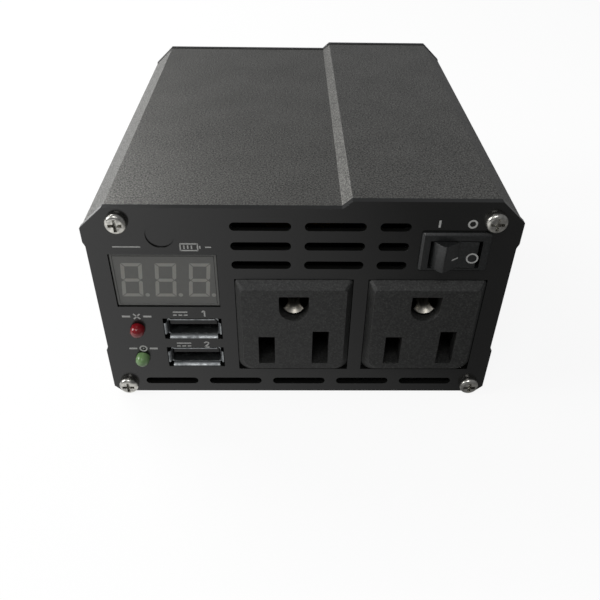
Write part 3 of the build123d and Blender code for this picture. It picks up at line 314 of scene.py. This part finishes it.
# battery sign in a broken line, over the display
line_z, line_width, battery_width = 43.75, 0.28, 0.3
battery_low, battery_high, charge_low, charge_high = 42.9, 44.6, 43.3, 44.2
for left, right in ((-40.6, -34.6), (-20.8, -19.5)):
    stroke(front_marks, (left, front_y, line_z), (right, front_y, line_z), line_width, ink_lift)
battery = [((-26.2, z), (-22.3, z)) for z in (battery_low, battery_high)]
battery += [((x, battery_low), (x, battery_high)) for x in (-26.1, -22.4)]
battery += [((-21.9, 43.4), (-21.9, 44.1))]
battery += [((x, charge_low), (x, charge_high)) for x in (-25.3, -24.5, -23.7)]
for (x, z), (next_x, next_z) in battery:
    stroke(front_marks, (x, front_y, z), (next_x, front_y, next_z), battery_width, ink_lift)

# a cross for a fault and a dotted ring for power, each between two bars
fault_x, fault_z, power_x, power_z = -38.05, 24.45, -37.8, 14.45
bar_near, bar_far, bar_width = 1.5, 3.4, 0.5
cross_half, cross_width, dot_half, ring_radius, ring_width = 0.75, 0.36, 0.15, 0.8, 0.32
for x, z in ((fault_x, fault_z), (power_x, power_z)):
    for side in (-1, 1):
        stroke(front_marks, (x + side * bar_near, front_y, z), (x + side * bar_far, front_y, z),
               bar_width, ink_lift)
for side in (-1, 1):
    stroke(front_marks, (fault_x - cross_half, front_y, fault_z - side * cross_half),
           (fault_x + cross_half, front_y, fault_z + side * cross_half), cross_width, ink_lift)
ring(front_marks, (power_x, front_y, power_z), ring_radius, ring_width, ink_lift)
stroke(front_marks, (power_x - dot_half, front_y, power_z), (power_x + dot_half, front_y, power_z),
       2 * dot_half, ink_lift)

# direct-current sign and the socket's number over each USB socket
sign_left, sign_right, sign_rise, sign_width = -29.6, -26.2, 0.45, 0.34
dash_length, dash_pitch = 0.85, 1.25
one = [(-22.9, 0.45), (-22.3, 0.85), (-22.3, -0.85)]
two = [(-23.0, 0.45), (-22.75, 0.8), (-22.2, 0.8), (-21.95, 0.4), (-22.95, -0.8), (-21.85, -0.8)]
for z, figure in ((25.35, one), (15.75, two)):
    stroke(front_marks, (sign_left, front_y, z + sign_rise), (sign_right, front_y, z + sign_rise),
           sign_width, ink_lift)
    for index in range(3):
        x = sign_left + index * dash_pitch
        stroke(front_marks, (x, front_y, z - sign_rise), (x + dash_length, front_y, z - sign_rise),
               sign_width, ink_lift)
    for (x, rise), (next_x, next_rise) in zip(figure, figure[1:]):
        stroke(front_marks, (x, front_y, z + rise), (next_x, front_y, z + next_rise), sign_width, ink_lift)

# a stroke for on and a ring for off, over the switch
on_x, off_x, switch_sign_z, switch_sign_half = 28.85, 35.8, 49.85, 0.85
on_width, off_width = 0.45, 0.4
stroke(front_marks, (on_x, front_y, switch_sign_z - switch_sign_half),
       (on_x, front_y, switch_sign_z + switch_sign_half), on_width, ink_lift)
ring(front_marks, (off_x, front_y, switch_sign_z), switch_sign_half, off_width, ink_lift)

# plus and minus over the battery posts, and the earth sign by its screw
rear_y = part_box("rear_panel")[1].y / mm
rear_marks = bmesh.new()
backward = Vector((0, 1, 0))
post_x = {}
for side in ("positive", "negative"):
    knob_low, knob_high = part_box(side + "_knob")
    post_x[side] = (knob_low.x + knob_high.x) / 2 / mm
post_sign_z, post_sign_half, post_sign_width = 39.5, 1.6, 0.55
for x in post_x.values():
    stroke(rear_marks, (x - post_sign_half, rear_y, post_sign_z), (x + post_sign_half, rear_y, post_sign_z),
           post_sign_width, ink_lift, backward)
x = post_x["positive"]
stroke(rear_marks, (x, rear_y, post_sign_z - post_sign_half), (x, rear_y, post_sign_z + post_sign_half),
       post_sign_width, ink_lift, backward)
earth_x, earth_z, earth_stem, earth_width = -24.5, 16.4, 1.6, 0.35
for rise, half in ((0.0, 1.5), (-0.8, 1.0), (-1.6, 0.5)):
    stroke(rear_marks, (earth_x - half, rear_y, earth_z + rise), (earth_x + half, rear_y, earth_z + rise),
           earth_width, ink_lift, backward)
stroke(rear_marks, (earth_x, rear_y, earth_z), (earth_x, rear_y, earth_z + earth_stem),
       earth_width, ink_lift, backward)


def printed_ink(tree, place, thin, thick, mottle_mm):
    """Flat ink, slightly uneven where the screen left less of it."""
    cover = add(tree, "ShaderNodeTexNoise",
                {"Vector": place, "Scale": 1000 / mottle_mm, "Detail": 1.0}).outputs["Fac"]
    shade = add(tree, "ShaderNodeMix", {0: cover, 6: linear(thin), 7: linear(thick)},
                data_type="RGBA").outputs[2]
    return {"Base Color": shade, "Roughness": 0.6}


# Soft light grey that never shines: the eye reads ink lying on the coating.
panel_ink = material("light_grey_screen_ink", printed_ink, thin="#a9a9a6", thick="#d2d2cf", mottle_mm=0.833)
piece_from(front_marks, "front_marks", panel_ink)
piece_from(rear_marks, "rear_marks", panel_ink)


# ---- Screws, nuts and washers
# Plated steel screws hold the panels, the fan and the transistors, and one at the rear takes an
# earth wire. Hexagon nuts sit on the fan's screws and the battery posts, and washers on the posts.
def plated_steel(tree, place, dark, light, rough, cloud_mm=1.11, scuff_mm=0.238):
    """Bright plating dulled in patches, with fine scuffs where a driver and fingers were."""
    cloud = add(tree, "ShaderNodeTexNoise",
                {"Vector": place, "Scale": 1000 / cloud_mm, "Detail": 3.0}).outputs["Fac"]
    scuffs = add(tree, "ShaderNodeTexNoise",
                 {"Vector": place, "Scale": 1000 / scuff_mm, "Detail": 2.0}).outputs["Fac"]
    dull = add(tree, "ShaderNodeMapRange", {"Value": cloud, "From Min": 0.35, "From Max": 0.7}).outputs[0]
    colour = add(tree, "ShaderNodeMix", {0: dull, 6: linear(light), 7: linear(dark)},
                 data_type="RGBA").outputs[2]
    rougher = add(tree, "ShaderNodeMapRange",
                  {"Value": dull, "To Min": rough, "To Max": rough + 0.2}).outputs[0]
    bump = add(tree, "ShaderNodeBump",
               {"Height": scuffs, "Distance": 0.01 * mm, "Strength": 0.35}).outputs[0]
    return {"Base Color": colour, "Metallic": 1.0, "Roughness": rougher, "Normal": bump}


# Cool grey with bright rims and dark recesses: the eye reads small worn steel heads.
screw_metal = material("nickel_plated_steel", plated_steel, dark="#8a8985", light="#cfcdc6", rough=0.2)
for name in ("front_screws", "rear_screws", "sink_screws", "fan_screws", "earth_screw"):
    finish_node(name, screw_metal, 0.12)
for name in ("fan_nuts", "post_nuts", "positive_washer", "negative_washer"):
    finish_node(name, screw_metal, 0.15)


# ---- Mains outlets
# Two snap-in outlet bodies moulded in black glass-filled nylon, with caps behind. Their faces
# stand out of the panel and have the blades' slots and the earth pins' D-shaped holes.
def moulded_plastic(tree, place, dark, light, rough, grain_mm, bump_mm, speck=0.0, fibre_mm=0.667):
    """A moulding's etched texture: fine grains, and where speck is set, lighter fibre ends.

    Real grains and fibre ends are finer than the camera can show, so both are drawn coarser.
    """
    grain = add(tree, "ShaderNodeTexNoise",
                {"Vector": place, "Scale": 1000 / grain_mm, "Detail": 2.0}).outputs["Fac"]
    etched = add(tree, "ShaderNodeMapRange",
                 {"Value": grain, "From Min": 0.4, "From Max": 0.7, "To Max": 1.0 - speck}).outputs[0]
    fibres = add(tree, "ShaderNodeTexVoronoi",
                 {"Vector": place, "Scale": 1000 / fibre_mm}).outputs["Distance"]
    ends = add(tree, "ShaderNodeMapRange",
               {"Value": fibres, "From Min": 0.26, "From Max": 0.08, "To Max": speck}).outputs[0]
    lightness = add(tree, "ShaderNodeMath", {0: etched, 1: ends}, operation="ADD").outputs[0]
    colour = add(tree, "ShaderNodeMix", {0: lightness, 6: linear(dark), 7: linear(light)},
                 data_type="RGBA").outputs[2]
    bump = add(tree, "ShaderNodeBump",
               {"Height": grain, "Distance": bump_mm * mm, "Strength": 0.6}).outputs[0]
    return {"Base Color": colour, "Roughness": rough, "Normal": bump}


# Charcoal with light specks and a soft shine on its edges: the eye reads filled nylon.
outlet_nylon = material("black_glass_filled_nylon", moulded_plastic, dark="#191918", light="#4b4c4a",
                        rough=0.55, grain_mm=0.4, bump_mm=0.06, speck=0.6)
finish_node("left_outlet_body", outlet_nylon, 0.35)
finish_node("right_outlet_body", outlet_nylon, 0.35)
# Plainer and duller than the faces, with no specks.
cap_plastic = material("black_moulded_cap_plastic", moulded_plastic, dark="#131313", light="#262625",
                       rough=0.6, grain_mm=0.6, bump_mm=0.03)
finish_node("outlet_caps", cap_plastic, 0.2)


# ---- Outlet contacts
# Folded strips of nickel-washed spring brass behind the slots. In each earth hole a trough-shaped
# leaf, flared at its mouth, runs forward from the strip and guides the pin.
def wrought_metal(tree, place, dark, light, rough, line_mm, tarnish_mm=3.85):
    """Rolled metal strip: long fine lines along one way, and slow tarnish.

    line_mm is a line's size along x, y and z. Real rolling lines are finer than the camera can
    show, so they are drawn coarser.
    """
    scales = [1000 / size for size in line_mm]
    stretch = add(tree, "ShaderNodeMapping", {"Vector": place, "Scale": scales}).outputs[0]
    lines = add(tree, "ShaderNodeTexNoise",
                {"Vector": stretch, "Scale": 1.0, "Detail": 2.0}).outputs["Fac"]
    tarnish = add(tree, "ShaderNodeTexNoise",
                  {"Vector": place, "Scale": 1000 / tarnish_mm, "Detail": 2.0}).outputs["Fac"]
    colour = add(tree, "ShaderNodeMix", {0: tarnish, 6: linear(dark), 7: linear(light)},
                 data_type="RGBA").outputs[2]
    rougher = add(tree, "ShaderNodeMapRange",
                  {"Value": lines, "To Min": rough - 0.05, "To Max": rough + 0.08}).outputs[0]
    bump = add(tree, "ShaderNodeBump",
               {"Height": lines, "Distance": 0.008 * mm, "Strength": 0.4}).outputs[0]
    return {"Base Color": colour, "Metallic": 1.0, "Roughness": rougher, "Normal": bump}


# Pale warm silver that lights up in the dark hole.
contact_metal = material("nickel_washed_spring_brass", wrought_metal, dark="#aaa59a", light="#dcd8ce",
                         rough=0.46, line_mm=(0.4, 2.5, 0.4))
finish_node("left_outlet_contacts", contact_metal, 0.08)
finish_node("right_outlet_contacts", contact_metal, 0.08)
finish_node("usb_pins", contact_metal, 0.04)
finish_node("switch_terminals", contact_metal, 0.08)

# radius and y of the leaf's section: the flared lip, the trough's outside, and back inside
leaf_profile = ((2.62, -0.3), (2.25, -0.05), (1.75, 0.75), (1.6, 1.3), (1.6, 9.0),
                (1.25, 9.0), (1.25, 1.3), (1.4, 0.6), (1.95, -0.2), (2.3, -0.55))
hole_height = 28.4
leaf_start, leaf_sweep = math.radians(22), math.radians(136)
leaves = bmesh.new()
for outlet in ("left_outlet_body", "right_outlet_body"):
    hole_x = (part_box(outlet)[0].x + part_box(outlet)[1].x) / 2
    rims = [leaves.verts.new((hole_x + radius * mm, (front_y + y) * mm, hole_height * mm))
            for radius, y in leaf_profile]
    outline = leaves.faces.new(rims)
    axis = Vector((hole_x, 0, hole_height * mm))
    bmesh.ops.rotate(leaves, verts=rims, cent=axis, matrix=Matrix.Rotation(leaf_start, 3, "Y"))
    bmesh.ops.spin(leaves, geom=[outline], cent=axis, axis=(0, 1, 0), angle=leaf_sweep, steps=16)
piece_from(leaves, "earth_leaves", contact_metal)


# ---- Voltage display
# A three-digit light display: a grey case with a painted face, and clear-to-milky segments that
# stay unlit. Its pins run back to the small front board.
def painted_face(tree, place, colour, rough, milk=0.0, mottle_mm=1.43):
    """Smooth screen-printed or moulded face with only a trace of unevenness."""
    mottle = add(tree, "ShaderNodeTexNoise",
                 {"Vector": place, "Scale": 1000 / mottle_mm, "Detail": 2.0}).outputs["Fac"]
    trace = add(tree, "ShaderNodeMapRange", {"Value": mottle, "To Min": 0.9, "To Max": 1.1}).outputs[0]
    shade = add(tree, "ShaderNodeHueSaturation", {"Color": linear(colour), "Value": trace}).outputs[0]
    return {"Base Color": shade, "Roughness": rough,
            "Subsurface Weight": milk, "Subsurface Scale": 0.4 * mm}


# Mid grey all over, so that the unlit digits only just stand out.
case_plastic = material("grey_display_case_plastic", painted_face, colour="#666663", rough=0.42)
finish_node("display_case", case_plastic, 0.15)
finish_node("display_face", material("grey_face_paint", painted_face, colour="#656562", rough=0.45))
# A little lighter and milkier than the face round it.
milky_epoxy = material("milky_segment_epoxy", painted_face, colour="#96958f", rough=0.38, milk=0.15)
finish_node("display_segments", milky_epoxy)
# Dull silver, as solder-dipped wire is.
tinned_wire = material("tinned_copper_wire", wrought_metal, dark="#9fa09f", light="#c9cac8", rough=0.35,
                       line_mm=(0.4, 3.33, 0.4))
finish_node("display_pins", tinned_wire)
finish_node("lamp_leads", tinned_wire)


# ---- Indicator lamps
# Two domed lamps of tinted epoxy, 3.3 mm wide, pushed through the panel from behind: red for a
# fault, green for power. They are unlit, so the tint and one small highlight are all that shows.
def tinted_epoxy(tree, place, deep, thin, cloud_mm=1.67):
    """Clear tinted resin that passes some light and has a slightly cloudy heart."""
    cloud = add(tree, "ShaderNodeTexNoise",
                {"Vector": place, "Scale": 1000 / cloud_mm, "Detail": 2.0}).outputs["Fac"]
    colour = add(tree, "ShaderNodeMix", {0: cloud, 6: linear(deep), 7: linear(thin)},
                 data_type="RGBA").outputs[2]
    return {"Base Color": colour, "Roughness": 0.14, "IOR": 1.5, "Subsurface Weight": 0.6,
            "Subsurface Scale": 0.8 * mm, "Subsurface Radius": (1.0, 1.0, 1.0)}


# Deep red and leaf green that glow faintly at the rim, where the room's light comes through.
finish_node("fault_lamp", material("red_tinted_epoxy", tinted_epoxy, deep="#6c0a12", thin="#9a222a"))
finish_node("power_lamp", material("green_tinted_epoxy", tinted_epoxy, deep="#587f49", thin="#8cab78"))


# ---- USB sockets
# Type A sockets: each shell is one strip of bright plated steel folded into a tube, with four
# flared lips at the mouth and two spring tabs in its floor. A black tongue carries the pins.
def rounded_rectangle(half_x, half_z, corner, steps=4):
    """The outline of a rectangle with rounded corners, as x and z from its middle."""
    points = []
    for quarter, (sx, sz) in enumerate(((1, 1), (-1, 1), (-1, -1), (1, -1))):
        for step in range(steps + 1):
            angle = math.radians(90 * quarter + 90 * step / steps)
            points.append((sx * (half_x - corner) + corner * math.cos(angle),
                           sz * (half_z - corner) + corner * math.sin(angle)))
    return points


# Bright and slightly blue beside the warm screws; its folds catch the lamps as thin lines.
shell_metal = material("bright_plated_shell_steel", plated_steel, dark="#6c6f70", light="#9da0a1", rough=0.34)
tube_half_x, tube_half_z, tube_corner, sheet = 6.1, 2.5, 0.8, 0.3
# the flare's depth and rise, how far the lips overlap the tube, and how much wider the ends open
flare_depth, flare_rise, lip_overlap, end_flare, bend_steps = 1.3, 0.5, 0.25, 1.2, 6
top_lip_half, bottom_lip_half, end_lip_half = 5.3, 5.7, 1.7
# along and rise of a tab's section: a ramp up from the floor, then bent down again
tab_section = ((0.0, 0.0), (3.2, 0.75), (4.4, 0.45), (4.4, 0.2), (3.2, 0.5), (0.0, -0.25))
tab_depth, tab_offset, tab_half = 3.4, 2.95, 0.9
for name in ("upper_usb_shell", "lower_usb_shell"):
    low, high = [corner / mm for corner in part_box(name)]
    x = (low.x + high.x) / 2
    z = (low.z + high.z) / 2
    # the tube: its end's outline, inset by the sheet's thickness and drawn back
    shell = bmesh.new()
    wall = [(x + along, low.y + flare_depth, z + rise)
            for along, rise in rounded_rectangle(tube_half_x, tube_half_z, tube_corner)]
    mouth = shell.faces.new([shell.verts.new(Vector(point) * mm) for point in wall])
    mouth.normal_update()
    rim = bmesh.ops.inset_region(shell, faces=[mouth], thickness=sheet * mm, use_boundary=True,
                                 use_even_offset=True)["faces"]
    bmesh.ops.delete(shell, geom=[mouth], context="FACES_ONLY")
    drawn = bmesh.ops.extrude_face_region(shell, geom=rim)["geom"]
    bmesh.ops.translate(shell, vec=(0, (high.y - low.y - flare_depth) * mm, 0),
                        verts=[part for part in drawn if isinstance(part, bmesh.types.BMVert)])
    # the lips curve outward to the mouth
    bend = [(flare_depth * (1 - step / bend_steps) + lip_overlap, flare_rise * (step / bend_steps) ** 2)
            for step in range(bend_steps + 1)]
    for side, half in ((-1, bottom_lip_half), (1, top_lip_half)):
        outer = [(x - half, low.y + depth, z + side * (tube_half_z + rise)) for depth, rise in bend]
        inner = [(x - half, low.y + depth, z + side * (tube_half_z - sheet + rise)) for depth, rise in bend]
        prism(shell, outer + inner[::-1], (2 * half, 0, 0))
        outer = [(x + side * (tube_half_x + rise * end_flare), low.y + depth, z - end_lip_half)
                 for depth, rise in bend]
        inner = [(x + side * (tube_half_x - sheet + rise * end_flare), low.y + depth, z - end_lip_half)
                 for depth, rise in bend]
        prism(shell, outer + inner[::-1], (0, 0, 2 * end_lip_half))
    # spring tabs that rise from the floor and bend down again
    floor_z = z - tube_half_z + sheet
    for side in (-1, 1):
        tab = [(x + side * tab_offset - tab_half, low.y + tab_depth + along, floor_z + rise)
               for along, rise in tab_section]
        prism(shell, tab, (2 * tab_half, 0, 0))
    piece_from(shell, name.replace("shell", "folded_shell"), shell_metal,
               replaced=(name,), edge_mm=0.05)
# Flat black, so the socket's mouth stays dark behind the bright lips.
tongue_plastic = material("black_thermoplastic_insulator", moulded_plastic, dark="#0b0b0b",
                          light="#1b1b1b", rough=0.5, grain_mm=0.5, bump_mm=0.02)
finish_node("upper_usb_tongue", tongue_plastic, 0.1)
finish_node("lower_usb_tongue", tongue_plastic, 0.1)


# ---- Rocker switch
# A snap-in switch: moulded housing with a raised bezel, and a two-winged rocker on side pins
# that presses the copper lever over inside. One stroke and one ring are printed on the wings.

# Smoother and shinier than the outlets, so the rocker's slopes show a soft sheen.
switch_plastic = material("black_satin_nylon", moulded_plastic, dark="#151616", light="#272828",
                          rough=0.36, grain_mm=0.5, bump_mm=0.02, speck=0.1)
finish_node("switch_housing", switch_plastic, 0.25)
finish_node("switch_rocker", switch_plastic, 0.2)
# each mark lies on the rocker's slope where a ray from the front meets it
rocker_low, rocker_high = [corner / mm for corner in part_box("switch_rocker")]
rocker_mesh = bmesh.new()
rocker_mesh.from_mesh(nodes["switch_rocker"].data)
rocker_tree = BVHTree.FromBMesh(rocker_mesh)
rocker_mesh.free()
rocker_marks = bmesh.new()
rocker_middle = (rocker_low + rocker_high) / 2
mark_drop, ray_lead = 0.7, 5
for sign, shift, reach, width in (("stroke", 0.1, 1.1, 0.32), ("ring", 3.75, 1.15, 0.34)):
    start = Vector((rocker_middle.x + shift, rocker_low.y - ray_lead, rocker_middle.z - mark_drop))
    hit, out, _, _ = rocker_tree.ray_cast(start * mm, Vector((0, 1, 0)))
    across = Vector((0, 0, 1)).cross(-out).normalized()
    centre = hit / mm
    if sign == "stroke":
        stroke(rocker_marks, centre - across * reach, centre + across * reach, width, ink_lift, out)
    else:
        ring(rocker_marks, centre, reach, width, ink_lift, out, across)
piece_from(rocker_marks, "rocker_marks", panel_ink, body="rocker")
# Reddish bare copper alloy, rolled lengthwise.
copper_strip = material("bare_copper_strip", wrought_metal, dark="#a45f3c", light="#cf8a63", rough=0.34,
                        line_mm=(2.5, 0.4, 0.4))
finish_node("switch_lever", copper_strip, 0.06)
finish_node("bus_straps", copper_strip, 0.15)


# ---- Circuit boards
# Glass-epoxy boards under green solder mask: the main board on the tray's rails, the front
# board behind the display and sockets, and the small control board that stands on edge.
def solder_mask(tree, place, track_mm, weave_mm):
    """Green lacquer, a tone lighter where it lies over copper tracks."""
    tracks = add(tree, "ShaderNodeTexBrick", {
        "Vector": place, "Color1": linear("#0d4a26"), "Color2": linear("#125a30"),
        "Mortar": linear("#0a3a1e"), "Scale": 1000 / track_mm, "Mortar Size": 0.06})
    weave = add(tree, "ShaderNodeTexNoise",
                {"Vector": place, "Scale": 1000 / weave_mm, "Detail": 2.0}).outputs["Fac"]
    bump = add(tree, "ShaderNodeBump", {"Height": weave, "Distance": 0.01 * mm, "Strength": 0.4}).outputs[0]
    return {"Base Color": tracks.outputs["Color"], "Roughness": 0.3, "Normal": bump}


# Glossy green with blocks of tracks showing through.
board_mask = material("green_solder_mask", solder_mask, track_mm=16.7, weave_mm=0.833)
for name in ("main_board", "front_board", "control_board"):
    finish_node(name, board_mask, 0.1)


# ---- Heat sinks, transistors and pads
# Two finned aluminium bars beside the case walls. Four power transistors are screwed to each
# through grey silicone pads.

# Pale bare metal with the press's long lines along the fins.
mill_aluminium = material("mill_finish_aluminium", wrought_metal, dark="#9fa2a5", light="#c6c9cb",
                          rough=0.4, line_mm=(0.4, 6.67, 0.4))
finish_node("left_heat_sink", mill_aluminium, 0.15)
finish_node("right_heat_sink", mill_aluminium, 0.15)
# Dull black epoxy, as chip packages are.
package_epoxy = material("black_package_epoxy", moulded_plastic, dark="#101010", light="#232323",
                         rough=0.55, grain_mm=0.25, bump_mm=0.02)
finish_node("left_transistors", package_epoxy, 0.1)
finish_node("right_transistors", package_epoxy, 0.1)
# Soft, even grey that hardly shines.
pad_silicone = material("grey_silicone_sheet", painted_face, colour="#8a8d91", rough=0.7)
finish_node("insulating_pads", pad_silicone)


# ---- Transformer
# Two ferrite halves closed round a phenolic bobbin; the winding is wrapped in yellow tape.

# Dark blue-grey ceramic, a little grainy.
ferrite = material("sintered_ferrite", moulded_plastic, dark="#202022", light="#38383b", rough=0.5,
                   grain_mm=0.3, bump_mm=0.03)
finish_node("transformer_core", ferrite, 0.3)
# Brownish black and smooth, as pressed phenolic is.
bobbin_resin = material("black_phenolic_resin", moulded_plastic, dark="#15120f", light="#272320",
                        rough=0.45, grain_mm=0.8, bump_mm=0.02)
finish_node("transformer_bobbin", bobbin_resin, 0.15)


def wound_layers(tree, place, dark, light, rough, pitch_mm):
    """Turns of tape or wire one above the other: a groove between each and the next, with painted shade
    darkening the colour in each groove.
    """
    # at scale 1 the wave texture repeats every pi / 10 metres
    turns_and_groove_shade = add(tree, "ShaderNodeTexWave",
                {"Vector": place, "Scale": 100 * math.pi / pitch_mm, "Distortion": 0.3},
                bands_direction="Z").outputs["Fac"]
    # painted shade: the colour is darkest where each groove between turns is deepest
    colour = add(tree, "ShaderNodeMix", {0: turns_and_groove_shade, 6: linear(dark), 7: linear(light)},
                 data_type="RGBA").outputs[2]
    bump = add(tree, "ShaderNodeBump", {"Height": turns_and_groove_shade, "Distance": 0.1 * mm, "Strength": 0.5}).outputs[0]
    return {"Base Color": colour, "Roughness": rough, "Normal": bump}


# Shiny yellow film in level wraps.
winding_tape = material("yellow_polyester_tape", wound_layers, dark="#a88a22", light="#d9b93c",
                        rough=0.28, pitch_mm=3.0)
finish_node("transformer_winding", winding_tape, 0.3)


# ---- Capacitors, choke and fuses
# Electrolytic cans in shrunk sleeves, a toroid choke wound with enamelled wire, and two blade
# fuses of clear amber plastic in the battery line.

# Dark blue glossy film, tight over the can's rolled groove.
sleeve_film = material("dark_blue_shrink_sleeve", painted_face, colour="#1d2540", rough=0.22)
finish_node("input_capacitors", sleeve_film, 0.15)
finish_node("bulk_capacitor", sleeve_film, 0.15)
# Copper-brown turns with a varnish's shine.
choke_wire = material("enamelled_copper_wire", wound_layers, dark="#6b3016", light="#b8683a",
                      rough=0.25, pitch_mm=0.9)
finish_node("output_choke", choke_wire, 0.2)
# Amber that lets some light through its edges.
finish_node("fuses", material("amber_fuse_plastic", tinted_epoxy, deep="#a8540f", thin="#d08433"), 0.2)


# ---- Fan
# A 40 mm fan on the rear panel: moulded frame with its motor plate, a seven-bladed impeller
# that turns in it, and a guard of plated wire rings outside.

# Plain black with a dull shine along the blades' edges.
fan_plastic = material("black_fan_plastic", moulded_plastic, dark="#121212", light="#232323", rough=0.42,
                       grain_mm=0.7, bump_mm=0.02)
finish_node("fan_frame", fan_plastic, 0.2)
finish_node("fan_impeller", fan_plastic, 0.15)
# Bright round wire; each ring carries a thin line of light.
guard_wire = material("bright_plated_guard_wire", plated_steel, dark="#bcbbb7", light="#d6d4cf", rough=0.24)
finish_node("fan_guard", guard_wire)


# ---- Battery posts
# Each post is a threaded brass stud in a moulded bushing, with a thumb nut that screws down on
# a washer to clamp the battery's ring lug: red for positive, black for negative.

# Clean satin red and black whose flutes each hold a thin highlight.
red_moulding = material("red_moulded_nylon", moulded_plastic, dark="#8c1717", light="#9c1d1d", rough=0.34,
                        grain_mm=0.9, bump_mm=0.02)
black_moulding = material("black_moulded_nylon", moulded_plastic, dark="#111111", light="#232323",
                          rough=0.34, grain_mm=0.9, bump_mm=0.02)
for side, moulding in (("positive", red_moulding), ("negative", black_moulding)):
    finish_node(side + "_bushing", moulding, 0.3)
    finish_node(side + "_knob", moulding, 0.25)


def cut_thread(tree, place, dark, light, pitch_mm):
    """Plated brass with a thread's grooves round it at their pitch, and painted shade darkening each groove.
    """
    # at scale 1 the wave texture repeats every pi / 10 metres
    grooves_and_groove_shade = add(tree, "ShaderNodeTexWave", {"Vector": place, "Scale": 100 * math.pi / pitch_mm},
                  bands_direction="Y").outputs["Fac"]
    # painted shade: the colour is darkest where each groove is deepest
    colour = add(tree, "ShaderNodeMix", {0: grooves_and_groove_shade, 6: linear(dark), 7: linear(light)},
                 data_type="RGBA").outputs[2]
    bump = add(tree, "ShaderNodeBump",
               {"Height": grooves_and_groove_shade, "Distance": 0.35 * mm, "Strength": 0.9}).outputs[0]
    return {"Base Color": colour, "Metallic": 1.0, "Roughness": 0.3, "Normal": bump}


# Warm silver with evenly spaced dark lines of painted groove shade: the eye reads a machine thread.
thread_brass = material("nickel_plated_brass_thread", cut_thread, dark="#6e6453", light="#cfc6ae",
                        pitch_mm=0.8)
finish_node("post_studs", thread_brass)


# ---- Leads
# Stranded copper leads in soft black insulation, from the switch to the main board and from
# the board to the fan.

# Soft even black that hardly shines.
lead_rubber = material("black_soft_insulation", painted_face, colour="#1c1c1c", rough=0.55)
finish_node("switch_leads", lead_rubber)
finish_node("fan_leads", lead_rubber)
